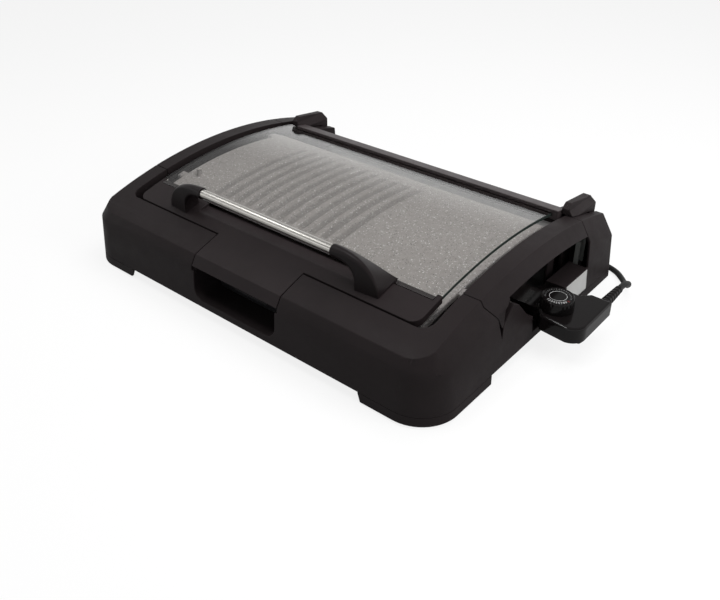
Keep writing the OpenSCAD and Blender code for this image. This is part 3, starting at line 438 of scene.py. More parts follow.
@dataclass(frozen=True)
class Dull:
    """Rubber, ceramic, enamel or foil: a soft sheen on an even colour with fine grain."""

    name: str
    tone: tuple = (0.02, 0.02, 0.02, 1.0)
    rough: float = 0.75
    shine: float = 0.4
    grain: float = 0.00003
    scale: float = 900.0
    metal: float = 0.0

    def make(self) -> bpy.types.Material:
        """Builds a faintly cloudy colour with a soft sheen and fine grain.

        Returns:
            The finished material.
        """
        r = Recipe(self.name)
        grain = r.noise(self.scale, detail=3.0, rough=0.65)
        cloud = r.noise(30.0, detail=4.0, rough=0.6)
        darker = shaded(self.tone, 0.82)
        return r.finish(
            Base_Color=r.blend(r.spread(cloud, 0.0, 1.0), darker, self.tone),
            Metallic=self.metal, Specular_IOR_Level=self.shine,
            Roughness=r.spread(grain, self.rough - 0.06, self.rough + 0.06),
            Normal=r.relief(grain, self.grain, 0.8))


@dataclass(frozen=True)
class ClearGlass:
    """Clear tempered glass that lets the lamps through."""

    name: str = "lid_glass"
    tone: tuple = (0.945, 0.942, 0.93, 1.0)
    bend: float = 1.45
    veil: tuple = (0.92, 0.92, 0.91, 1.0)

    def make(self) -> bpy.types.Material:
        """Builds clear glass through which shadow and diffuse rays go straight.

        Returns:
            The finished material.
        """
        r = Recipe(self.name)
        glass = r.node("BsdfPrincipled", Base_Color=self.tone, Roughness=0.0, IOR=self.bend,
                       Transmission_Weight=1.0)
        open_to_lamps = r.node("BsdfTransparent", Color=self.veil)
        mix = r.node("MixShader")
        path = r.node("LightPath").outputs
        r.feed(mix.inputs[0], r.maths("MAXIMUM", path["Is Shadow Ray"], path["Is Diffuse Ray"]))
        r.feed(mix.inputs[1], glass.outputs[0])
        r.feed(mix.inputs[2], open_to_lamps.outputs[0])
        r.tree.links.new(mix.outputs[0], r.output.inputs["Surface"])
        return r.material


FINISHES = {finish.name: finish for finish in (
    MouldedPlastic("body_plastic", 0.013, 0.30, 0.50, 0.14),
    MouldedPlastic("lid_plastic", 0.015, 0.30, 0.48, 0.15),
    MouldedPlastic("post_plastic", 0.008, 0.35, 0.40, 0.20, 0.00001, 1800.0),
    # Lighter than the other black plastics: a painted highlight for the sheen along the rail's top.
    MouldedPlastic("rail_plastic", 0.038, 0.25, 0.40, 0.30),
    MouldedPlastic("gloss_black", 0.005, 0.22, 0.10, 0.30, 0.0, 900.0),
    MouldedPlastic("knob_black", 0.004, 0.2, 0.16, 0.25, 0.0, 1200.0),
    Dull("black_sheet", (0.022, 0.022, 0.022, 1), 0.5, 0.4, 0.00002, 700.0),
    Dull("drawer_enamel", (0.02, 0.02, 0.022, 1), 0.32, 0.5, 0.00002, 300.0),
    Dull("foot_rubber", (0.012, 0.012, 0.012, 1), 0.8, 0.3),
    Dull("cord_rubber", (0.012, 0.012, 0.012, 1), 0.55, 0.4, 0.00002),
    Dull("black_tie", (0.015, 0.015, 0.015, 1), 0.5, 0.4),
    Dull("shroud_steatite", (0.62, 0.58, 0.50, 1), 0.6, 0.4),
    Dull("label_foil", (0.58, 0.58, 0.57, 1), 0.42, 0.4, 0.00001, 400.0),
    Dull("lamp_red", (0.42, 0.012, 0.008, 1), 0.2, 0.5, 0.000004),
    CastMetal("sleeve_brass", (0.70, 0.52, 0.24, 1), 0.3),
    CastMetal("zinc_screw", (0.56, 0.57, 0.58, 1), 0.32),
    CastMetal("cast_metal", (0.48, 0.48, 0.49, 1), 0.5, 0.00008, 350.0),
    CastMetal("reflector_sheet", (0.74, 0.73, 0.72, 1), 0.46, 0.000002, 240.0),
    CastMetal("contact_nickel", (0.66, 0.65, 0.62, 1), 0.24),
    BrushedMetal("pin_steel", (0.60, 0.60, 0.61, 1), 0.24),
    Dull("strip_steel", (0.42, 0.44, 0.42, 1), 0.5, 0.3, 0.00001, 600.0),
    BrushedMetal("handle_steel"),
    Dull("ring_chrome", (0.60, 0.60, 0.60, 1), 0.45, 0.5),
    Dull("mark_red", (0.14, 0.02, 0.02, 1), 0.4, 0.4),
    Dull("print_grey", (0.22, 0.22, 0.22, 1), 0.5, 0.4),
    GraniteCoat(),
    HeatTint(),
    ClearGlass(),
)}


def put(name: str, data: bpy.types.ID) -> bpy.types.Object:
    """Puts a new object in the scene, at the origin.

    Args:
        name: The object's name.
        data: Its mesh, curve, camera or lamp.

    Returns:
        The new object.
    """
    made = bpy.data.objects.new(name, data)
    bpy.context.scene.collection.objects.link(made)
    return made


class Paintbox:
    """Makes each finish once and hands it out by its slot's name."""

    def __init__(self) -> None:
        """Starts with nothing made."""
        self.made: dict[str, bpy.types.Material] = {}

    def get(self, slot: str) -> bpy.types.Material:
        """Finds the material of a slot, and makes it the first time.

        Args:
            slot: The slot's name.

        Returns:
            The material.
        """
        if slot not in self.made:
            self.made[slot] = FINISHES[slot].make()
        return self.made[slot]


PAINT = Paintbox()
SLOT_OF = {row["node"]: row["material_slot"] for row in frame["record"]["subparts"]}
BODY_OF = {node: body for body, nodes in frame["record"]["behaviour"]["bodies"].items()
           for node in nodes}


# ---------------------------------------------------------------- meshes


class Draft:
    """A mesh in the making, in working millimetres."""

    def __init__(self, layer: str = "") -> None:
        """Starts an empty mesh.

        Args:
            layer: The vertex attribute that takes the marks, if any.
        """
        self.bm = bmesh.new()
        self.layer = layer
        self.marks: dict[tuple[float, float], float] = {}

    def loft(self, rings: list[list[Point]]) -> None:
        """Joins closed rings into one capped skin.

        Args:
            rings: The rings, with the same number of points each, in working millimetres.
        """
        rows = [[self.bm.verts.new(p) for p in ring] for ring in rings]
        count = len(rows[0])
        for one, two in zip(rows, rows[1:]):
            for k in range(count):
                m = (k + 1) % count
                self.bm.faces.new((one[k], one[m], two[m], two[k]))
        self.bm.faces.new(rows[0][::-1])
        self.bm.faces.new(rows[-1])

    def lathe(self, outline: list[tuple[float, float]], place: Matrix, sides: int = 64) -> None:
        """Turns an outline of radius and height about the z axis of a place.

        Args:
            outline: Points from the lower pole to the upper one.
            place: Where the axis stands.
            sides: Number of steps round it.
        """
        rings = []
        for r, h in outline:
            count = 1 if r < 1e-6 else sides
            rings.append([self.bm.verts.new(place @ Vector((
                r * math.cos(math.tau * k / sides), r * math.sin(math.tau * k / sides), h)))
                for k in range(count)])
        for one, two in zip(rings, rings[1:]):
            for k in range(sides):
                m = (k + 1) % sides
                if len(one) == 1 and len(two) == 1:
                    break
                if len(one) == 1:
                    self.bm.faces.new((one[0], two[m], two[k]))
                elif len(two) == 1:
                    self.bm.faces.new((one[k], one[m], two[0]))
                else:
                    self.bm.faces.new((one[k], one[m], two[m], two[k]))

    def build(self, name: str, slot: str, angle: float = 32.0) -> bpy.types.Object:
        """Turns the draft into an object in metres.

        Args:
            name: The piece's name.
            slot: The material slot it takes its finish from.
            angle: Edges sharper than this stay sharp, in degrees.

        Returns:
            The new object.
        """
        bm = self.bm
        bmesh.ops.remove_doubles(bm, verts=bm.verts, dist=1e-4)
        if self.layer:
            store = bm.verts.layers.float.new(self.layer)
            for vert in bm.verts:
                vert[store] = self.marks.get((round(vert.co.x, 3), round(vert.co.y, 3)), 0.0)
        bmesh.ops.recalc_face_normals(bm, faces=bm.faces)
        bmesh.ops.transform(bm, verts=bm.verts,
                            matrix=Matrix.Translation(-SHIFT) @ Matrix.Scale(MM, 4))
        return to_object(bm, name, slot, angle)

    def piece(self, name: str, slot: str, body: str, *nodes: str,
              angle: float = 32.0) -> bpy.types.Object:
        """Turns the draft into a registered piece.

        Args:
            name: The piece's name.
            slot: Its material slot.
            body: The body that it rides on.
            nodes: CAD nodes that it replaces.
            angle: Edges sharper than this stay sharp, in degrees.

        Returns:
            The new piece.
        """
        return register(self.build(name, slot, angle), slot, body, *nodes)


def to_object(bm: bmesh.types.BMesh, name: str, slot: str, angle: float) -> bpy.types.Object:
    """Makes an object of a mesh that is already in metres.

    Args:
        bm: The mesh, which is freed.
        name: The piece's name.
        slot: The material slot it takes its finish from.
        angle: Edges sharper than this stay sharp, in degrees.

    Returns:
        The new object.
    """
    mesh = bpy.data.meshes.new(name)
    bm.to_mesh(mesh)
    bm.free()
    mesh.materials.append(PAINT.get(slot))
    mesh.shade_smooth()
    mesh.set_sharp_from_angle(angle=math.radians(angle))
    return put(name, mesh)


def settle(piece: bpy.types.Object) -> bpy.types.Object:
    """Turns a piece with modifiers into a plain mesh.

    Args:
        piece: The piece.

    Returns:
        The piece, with its modifiers gone.
    """
    bpy.context.view_layer.update()
    depsgraph = bpy.context.evaluated_depsgraph_get()
    mesh = bpy.data.meshes.new_from_object(piece.evaluated_get(depsgraph), depsgraph=depsgraph)
    old = piece.data
    piece.modifiers.clear()
    piece.data = mesh
    bpy.data.meshes.remove(old)
    mesh.name = piece.name
    return piece


def register(piece: bpy.types.Object, slot: str, body: str, *nodes: str) -> bpy.types.Object:
    """Tells the frame what a piece rides on and which nodes it stands for.

    Args:
        piece: The piece.
        slot: Its material slot; not used.
        body: The body that it rides on.
        nodes: CAD nodes that it replaces.

    Returns:
        The piece.
    """
    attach(piece, body)
    if nodes:
        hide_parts(*nodes)
    LOG.info("%s: %d faces on %s", piece.name, len(piece.data.polygons), body)
    return piece


def eased(node: str, width: float = 0.6, segments: int = 2, angle: float = 32.0,
          share: Callable[[Vector], float] | None = None) -> bpy.types.Object:
    """A copy of a CAD node with its sharp edges eased, which replaces the node.

    Args:
        node: The CAD node.
        width: Width of the eased edge, in millimetres.
        segments: Steps across it.
        angle: Edges sharper than this are eased, in degrees.
        share: Share of the width that an edge gets, from its middle in working millimetres.

    Returns:
        The new piece.
    """
    bm = bmesh.new()
    bm.from_mesh(frame["nodes"][node].data)
    bmesh.ops.remove_doubles(bm, verts=bm.verts, dist=MERGE)
    bmesh.ops.dissolve_limit(bm, angle_limit=math.radians(FLAT), verts=bm.verts, edges=bm.edges)
    if share:
        store = bm.edges.layers.float.new("bevel_weight_edge")
        for edge in bm.edges:
            if len(edge.link_faces) == 2 and edge.calc_face_angle() > math.radians(angle):
                middle = (edge.verts[0].co + edge.verts[1].co) / 2
                edge[store] = share((middle + SHIFT) / MM)
    slot = SLOT_OF[node]
    skin = BVHTree.FromBMesh(bm)
    piece = to_object(bm, node + "_eased", slot, angle)
    soft = piece.modifiers.new("edges", "BEVEL")
    soft.width = width * MM
    soft.segments = segments
    soft.limit_method = "WEIGHT" if share else "ANGLE"
    soft.angle_limit = math.radians(angle)
    soft.use_clamp_overlap = False
    soft.harden_normals = True
    settle(piece)
    for vertex in piece.data.vertices:
        place, _, _, away = skin.find_nearest(vertex.co)
        if away > STRAY * width * MM:
            vertex.co = place
    return register(piece, slot, BODY_OF[node], node)


def dress(*nodes: str) -> None:
    """Gives CAD nodes that keep their shape the material of their slot.

    Args:
        nodes: The nodes' names.
    """
    for node in nodes:
        data = frame["nodes"][node].data
        data.materials.clear()
        data.materials.append(PAINT.get(SLOT_OF[node]))


# ---------------------------------------------------------------- geometry nodes


class Maker(Tree):
    """A Geometry Nodes tree in the making."""

    def __init__(self, name: str, inputs: list[tuple[str, str, object]]) -> None:
        """Starts a tree with its geometry sockets and named inputs.

        Args:
            name: The tree's name.
            inputs: Name, socket type and first value of each further input.
        """
        self.tree = bpy.data.node_groups.new(name, "GeometryNodeTree")
        face = self.tree.interface
        face.new_socket("Geometry", in_out="OUTPUT", socket_type="NodeSocketGeometry")
        face.new_socket("Geometry", in_out="INPUT", socket_type="NodeSocketGeometry")
        self.ids: dict[str, str] = {}
        for label, kind, value in inputs:
            socket = face.new_socket(label, in_out="INPUT", socket_type="NodeSocket" + kind)
            if value is not None:
                socket.default_value = value
            self.ids[label] = socket.identifier
        self.start = self.tree.nodes.new("NodeGroupInput")
        self.end = self.tree.nodes.new("NodeGroupOutput")

    def close(self, geometry: bpy.types.NodeSocket) -> None:
        """Ends the tree in Realize Instances and Set Material.

        Args:
            geometry: The socket with the tree's instances.
        """
        real = self.node("GeometryNodeRealizeInstances", Geometry=geometry)
        paint = self.node("GeometryNodeSetMaterial", Geometry=real.outputs[0],
                          Material=self.start.outputs["Material"])
        self.tree.links.new(paint.outputs[0], self.end.inputs[0])


def ring_tree() -> Maker:
    """Builds a tree that puts a template at even steps along an arc about the z axis.

    Returns:
        The tree.
    """
    made = Maker("ring_of", [("Template", "Object", None), ("Count", "Int", 12),
                             ("Radius", "Float", 0.01), ("Start", "Float", 0.0),
                             ("Sweep", "Float", math.tau), ("Material", "Material", None)])
    out = made.start.outputs
    line = made.node("GeometryNodeMeshLine", Count=out["Count"], Offset=(0.0, 0.0, 0.0))
    index = made.node("GeometryNodeInputIndex").outputs[0]
    share = made.maths("DIVIDE", index, out["Count"])
    turn = made.maths("MULTIPLY_ADD", share, out["Sweep"], out["Start"])
    spin = made.node("ShaderNodeCombineXYZ", Z=turn)
    away = made.node("ShaderNodeCombineXYZ", X=out["Radius"])
    info = made.node("GeometryNodeObjectInfo", Object=out["Template"])
    shifted = made.node("GeometryNodeTransform", Geometry=info.outputs["Geometry"],
                        Translation=away.outputs[0])
    copies = made.node("GeometryNodeInstanceOnPoints", Points=line.outputs[0],
                       Instance=shifted.outputs[0], Rotation=spin.outputs[0])
    made.close(copies.outputs[0])
    return made


def grown(name: str, slot: str, tree: Maker, seed_points: list[Vector],
          values: dict[str, object], place: Matrix | None = None,
          angle: float = 32.0) -> bpy.types.Object:
    """Runs a tree on points and keeps the result as a plain mesh.

    Args:
        name: The piece's name.
        slot: Its material slot.
        tree: The tree.
        seed_points: Points of the mesh that the tree starts from, in metres.
        values: The tree's inputs by name.
        place: Where the result is moved to.
        angle: Edges sharper than this stay sharp, in degrees.

    Returns:
        The new piece.
    """
    mesh = bpy.data.meshes.new(name)
    mesh.from_pydata([tuple(p) for p in seed_points], [], [])
    piece = put(name, mesh)
    modifier = piece.modifiers.new("grow", "NODES")
    modifier.node_group = tree.tree
    for label, value in {**values, "Material": PAINT.get(slot)}.items():
        modifier[tree.ids[label]] = value
    settle(piece)
    if place is not None:
        piece.data.transform(place)
    piece.data.shade_smooth()
    piece.data.set_sharp_from_angle(angle=math.radians(angle))
    return piece


def discard(*objects: bpy.types.Object) -> None:
    """Removes templates once they have been used."""
    for made in objects:
        bpy.data.objects.remove(made)


# ---------------------------------------------------------------- studio


@dataclass(frozen=True)
class Lamp:
    """A soft rectangular lamp, in metres and watts, which gloss and glass may show."""

    name: str
    place: Point
    target: Point
    size: tuple[float, float]
    power: float
    shows: bool = False

    def hang(self) -> None:
        """Puts the lamp in the scene."""
        data = bpy.data.lights.new(self.name, "AREA")
        data.shape = "RECTANGLE"
        data.size, data.size_y = self.size
        data.energy = self.power
        made = put(self.name, data)
        made.location = self.place
        aim = Vector(self.target) - Vector(self.place)
        made.rotation_euler = aim.to_track_quat("-Z", "Y").to_euler()
        made.visible_glossy = made.visible_transmission = self.shows


@dataclass
class Studio:
    """Camera, floor, backdrop light and lamps."""

    lens: float = 40.12
    shift: float = -0.041667
    tilt: float = 58.40
    turn: float = 39.84
    eye: Point = (0.5547, -0.6677, 0.5370)
    world_light: float = 0.27
    overhead: float = 0.35
    horizon: tuple[float, float] = (0.24, 0.44)
    backdrop: float = 0.985
    floor_gap: float = 0.0004
    floor_reach: float = 9.0
    floor_tone: float = 0.45
    floor_shade: float = 0.16
    floor_glow: float = 0.84
    floor_gloss: float = 0.32
    lamps: tuple[Lamp, ...] = (
        Lamp("top_softbox", (0.25, 0.30, 1.3), (0.0, 0.0, 0.0), (1.2, 1.0), 11.0),
        Lamp("side_softbox", (1.25, 0.15, 0.85), (0.0, 0.0, 0.05), (0.7, 0.5), 8.0),
        Lamp("edge_light", (-0.10, -0.34, 1.15), (0.2, 0.0, 0.05), (0.30, 0.12), 2.5, True),
        Lamp("rail_light", (-0.80, -0.30, 1.02), (0.0, -0.13, 0.12), (0.5, 0.16), 1.1, True))

    def build(self) -> None:
        """Makes everything that isn't part of the grill."""
        bpy.context.scene.view_settings.view_transform = "Standard"
        self.camera()
        self.floor()
        self.world()
        for lamp in self.lamps:
            lamp.hang()

    def camera(self) -> None:
        """The camera at the viewing angle."""
        data = bpy.data.cameras.new("camera")
        data.sensor_width = 36.0
        data.lens = self.lens
        data.shift_y = self.shift
        made = put("camera", data)
        made.location = self.eye
        made.rotation_euler = (math.radians(self.tilt), 0.0, math.radians(self.turn))
        bpy.context.scene.camera = made

    def floor(self) -> None:
        """A wide pale floor that shows near white and keeps a soft shadow."""
        bm = bmesh.new()
        bmesh.ops.create_grid(bm, x_segments=1, y_segments=1, size=self.floor_reach)
        mesh = bpy.data.meshes.new("floor")
        bm.to_mesh(mesh)
        bm.free()
        r = Recipe("floor_paper")
        mesh.materials.append(r.material)
        made = put("floor", mesh)
        made.location.z = -self.floor_gap
        seen = self.seen(r)
        path = r.node("LightPath").outputs
        gloss = r.maths("SUBTRACT", path["Is Glossy Ray"], path["Is Transmission Ray"])
        plain = r.node("BsdfDiffuse", Color=grey(self.floor_tone))
        shade = r.node("BsdfDiffuse", Color=grey(self.floor_shade))
        glow = r.node("Emission", Color=grey(self.floor_glow),
                      Strength=r.spread(gloss, 1.0, self.floor_gloss, 0, 1))
        both = r.node("AddShader")
        r.feed(both.inputs[0], shade.outputs[0])
        r.feed(both.inputs[1], glow.outputs[0])
        mix = r.node("MixShader")
        r.feed(mix.inputs[0], seen)
        r.feed(mix.inputs[1], plain.outputs[0])
        r.feed(mix.inputs[2], both.outputs[0])
        r.tree.links.new(mix.outputs[0], r.output.inputs["Surface"])

    @staticmethod
    def seen(r: Recipe) -> bpy.types.NodeSocket:
        """Tells the rays that show an image from those that only light.

        Args:
            r: The recipe that asks.

        Returns:
            A socket that is 1 for rays from the camera, from gloss and through glass.
        """
        path = r.node("LightPath").outputs
        first = r.maths("MAXIMUM", path["Is Camera Ray"], path["Is Glossy Ray"])
        return r.maths("MAXIMUM", first, path["Is Transmission Ray"])

    def world(self) -> None:
        """White backdrop, dimmer overhead for what gloss shows, and an even light all round."""
        world = bpy.data.worlds.new("studio")
        world.use_nodes = True
        bpy.context.scene.world = world
        tree = world.node_tree
        tree.nodes.clear()
        r = Recipe("world_helper")
        r.tree = tree
        seen = self.seen(r)
        way = r.node("TexCoord").outputs["Generated"]
        height = r.node("SeparateXYZ", Vector=way).outputs["Z"]
        dim = r.spread(height, 1.0, self.overhead, *self.horizon)
        gloss = r.node("LightPath").outputs["Is Glossy Ray"]
        strength = r.node("Mix")
        for index, value in ((0, gloss), (2, 1.0), (3, dim)):
            r.feed(strength.inputs[index], value)
        even = r.node("Background", Color=grey(1.0), Strength=self.world_light)
        white = r.node("Background", Color=grey(self.backdrop), Strength=strength.outputs[0])
        mix = r.node("MixShader")
        r.feed(mix.inputs[0], seen)
        r.feed(mix.inputs[1], even.outputs[0])
        r.feed(mix.inputs[2], white.outputs[0])
        end = tree.nodes.new("ShaderNodeOutputWorld")
        tree.links.new(mix.outputs[0], end.inputs["Surface"])
        bpy.data.materials.remove(r.material)

    @staticmethod
    def spare(piece: bpy.types.Object, *lamps: str) -> None:
        """Keeps the mirror images of some lamps off a piece.

        Args:
            piece: The piece.
            lamps: The lamps' names.
        """
        left_out = bpy.data.collections.new("spared_by_strips")
        left_out.objects.link(piece)
        left_out.collection_objects[0].light_linking.link_state = "EXCLUDE"
        for name in lamps:
            bpy.data.objects[name].light_linking.receiver_collection = left_out


# ---------------------------------------------------------------- cord


@dataclass
class CordSet:
    """The cord with its coil, tie, strain relief and plug."""

    diameter: float = 7.0
    coil_x: float = 180.0
    coil_y: float = 446.0
    outer: float = 41.5
    inner: float = 34.5
    low: float = 3.5
    level: float = 7.0
    shifts: tuple = ((285, 75), (205, 75), (190, 75), (100, 80))
    sleeve_at: Point = (317.0, 264.0, 40.55)
    sleeve_len: float = 40.0
    sleeve_r: tuple[float, float] = (6.3, 4.55)
    ribs: int = 6
    rib_pitch: float = 6.0

    def build(self) -> None:
        """Makes the cord and all that is on it."""
        riders = [self.relief()]
        for node, width, steps in (("cord_tie", 0.25, 2), ("plug_body", 0.7, 3),
                                   ("plug_pins", 0.3, 2)):
            riders.append(eased(node, width, steps))
        self.cord()

    def turns(self) -> list[Point]:
        """Works out the coil's turns, from where the cord enters it to where it leaves.

        The last point falls back by one layer, which leaves a notch in the cord.

        Returns:
            Points of the coil, in working millimetres.
        """
        points = []
        for step in range(0, len(self.shifts) * 360 + 1, 10):
            radius, height = self.coil_place(step)
            a = math.radians(-90.0 - step)
            points.append((self.coil_x + radius * math.cos(a),
                           self.coil_y + radius * math.sin(a), height))
        return points

    def coil_place(self, step: float) -> tuple[float, float]:
        """Radius and height of the cord at an angle along the coil.

        Each turn has one shift to the next ring or layer, given by its start and its span.

        Args:
            step: Angle since the cord entered the coil, in degrees.

        Returns:
            Radius and height, in millimetres.
        """
        turn, angle = divmod(step, 360)
        start, span = self.shifts[min(turn, len(self.shifts) - 1)]
        share = smooth((angle - start) / span)
        top = self.low + self.level
        if turn == 0:
            return self.outer + (self.inner - self.outer) * share, self.low
        if turn == 1:
            return self.inner, self.low + self.level * share
        if turn == 2:
            return self.inner + (self.outer - self.inner) * share, top
        return self.outer, top + self.level * share

    def route(self) -> list[Point]:
        """Joins the cord's way to the coil, the coil and the way to the plug.

        Returns:
            Points from inside the strain relief to inside the plug, in working millimetres.
        """
        way = [(317, 300, 40.5), (317, 312, 40.5), (317, 322, 38.5), (316, 333, 33),
               (313, 344, 25.5), (309, 355, 17.5), (304, 366, 10), (297, 377, 5),
               (289, 387, 3.5), (278, 396.5, 3.5), (264, 402.5, 3.5), (248, 404.5, 3.5),
               (220, 404.5, 3.5), (200, 404.5, 3.5)]
        lead = [(168, 404.5, 17.5), (156, 404.9, 17.5), (144, 406.2, 17.5), (131, 409.4, 17.6),
                (118, 414, 18), (106, 417.6, 18.4), (94, 419, 18.5)]
        return self.curved(way) + self.turns() + self.curved(lead)

    @staticmethod
    def curved(points: list[Point], steps: int = 4) -> list[Point]:
        """A smooth curve through points.

        Args:
            points: The points that it passes.
            steps: Pieces between two of them.

        Returns:
            Points along the curve.
        """
        vectors = [Vector(p) for p in points]
        vectors = [2 * vectors[0] - vectors[1], *vectors, 2 * vectors[-1] - vectors[-2]]
        made = []
        for a, b, c, d in zip(vectors, vectors[1:], vectors[2:], vectors[3:]):
            for k in range(steps):
                t = k / steps
                made.append(tuple(0.5 * (2 * b + (c - a) * t + (2 * a - 5 * b + 4 * c - d) * t * t
                                         + (3 * b - a - 3 * c + d) * t ** 3)))
        made.append(tuple(vectors[-2]))
        return made

    def cord(self) -> None:
        """The cord itself, a round curve along its route.
        """
        way = [spot(*p) for p in self.route()]
        data = bpy.data.curves.new("mains_cord", "CURVE")
        data.dimensions = "3D"
        data.bevel_depth = self.diameter / 2 * MM
        data.bevel_resolution = 4
        data.use_fill_caps = True
        line = data.splines.new("POLY")
        line.points.add(len(way) - 1)
        for point, place in zip(line.points, way):
            point.co = (*place, 1.0)
        line.use_smooth = True
        data.materials.append(PAINT.get("cord_rubber"))
        piece = put("mains_cord", data)
        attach(piece, "controller")
        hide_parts("power_cord", "plug_lead", "cord_coil")

    def relief(self) -> bpy.types.Object:
        """Makes the tapered sleeve with ribs where the cord leaves the controller.

        Returns:
            The sleeve.
        """
        length, (start, end) = self.sleeve_len, self.sleeve_r
        lean = (start - end) / length
        outline = [(0.0, -3.0), (4.6, -3.0), (4.6, 0.05), (start - 0.5, 0.05)]
        for k in range(self.ribs):
            at = k * self.rib_pitch
            r = start - (start - end) * at / length
            outline += [(r - 0.4, at + 0.1), (r, at + 0.5), (r - 3 * lean, at + 2.9),
                        (r - 3 * lean - 0.8, at + 3.3), (r - 6 * lean - 0.8, at + 5.8)]
        outline += [(end + 0.1, length - 3.5), (end, length - 0.6), (end - 0.5, length),
                    (0.0, length)]
        draft = Draft()
        place = Matrix.Translation(self.sleeve_at) @ Matrix.Rotation(-math.pi / 2, 4, "X")
        draft.lathe(outline, place, 48)
        return draft.piece("cord_sleeve", "gloss_black", "controller", "strain_relief")


# ---------------------------------------------------------------- base


@dataclass
class Base:
    """Housing, side arches, floor, feet and what is inside."""

    leg_x: float = 239.0
    leg_y: tuple = (34.0, 356.0)

    def build(self) -> None:
        """Makes and dresses the base."""
        for node, width, steps in (("base_housing", 0.9, 3), ("corner_legs", 0.5, 2),
                                   ("side_arch_left", 0.7, 3), ("side_arch_right", 0.7, 3),
                                   ("rating_plate", 0.15, 1), ("retaining_strip", 0.3, 2)):
            eased(node, width, steps)
        dress("floor_pan", "hinge_pins", "heat_reflector", "drawer_rails", "heating_element",
              "terminal_pins", "terminal_shroud", "socket_bracket", "sensor_block", "floor_screws")
        self.feet()

    def feet(self) -> None:
        """Four rubber feet with a soft rim."""
        outline = [(0.0, 0.0), (8.6, 0.0), (9.6, 0.15), (10.4, 0.6), (10.85, 1.2), (11.0, 2.0),
                   (3.0, 2.0), (3.0, 5.1), (4.5, 5.1), (4.5, 6.6), (4.0, 7.1), (0.0, 7.1)]
        draft = Draft()
        for x in (-self.leg_x, self.leg_x):
            for y in self.leg_y:
                draft.lathe(outline, Matrix.Translation((x, y, 0.0)), 48)
        draft.piece("soft_feet", "foot_rubber", "base", "rubber_feet")


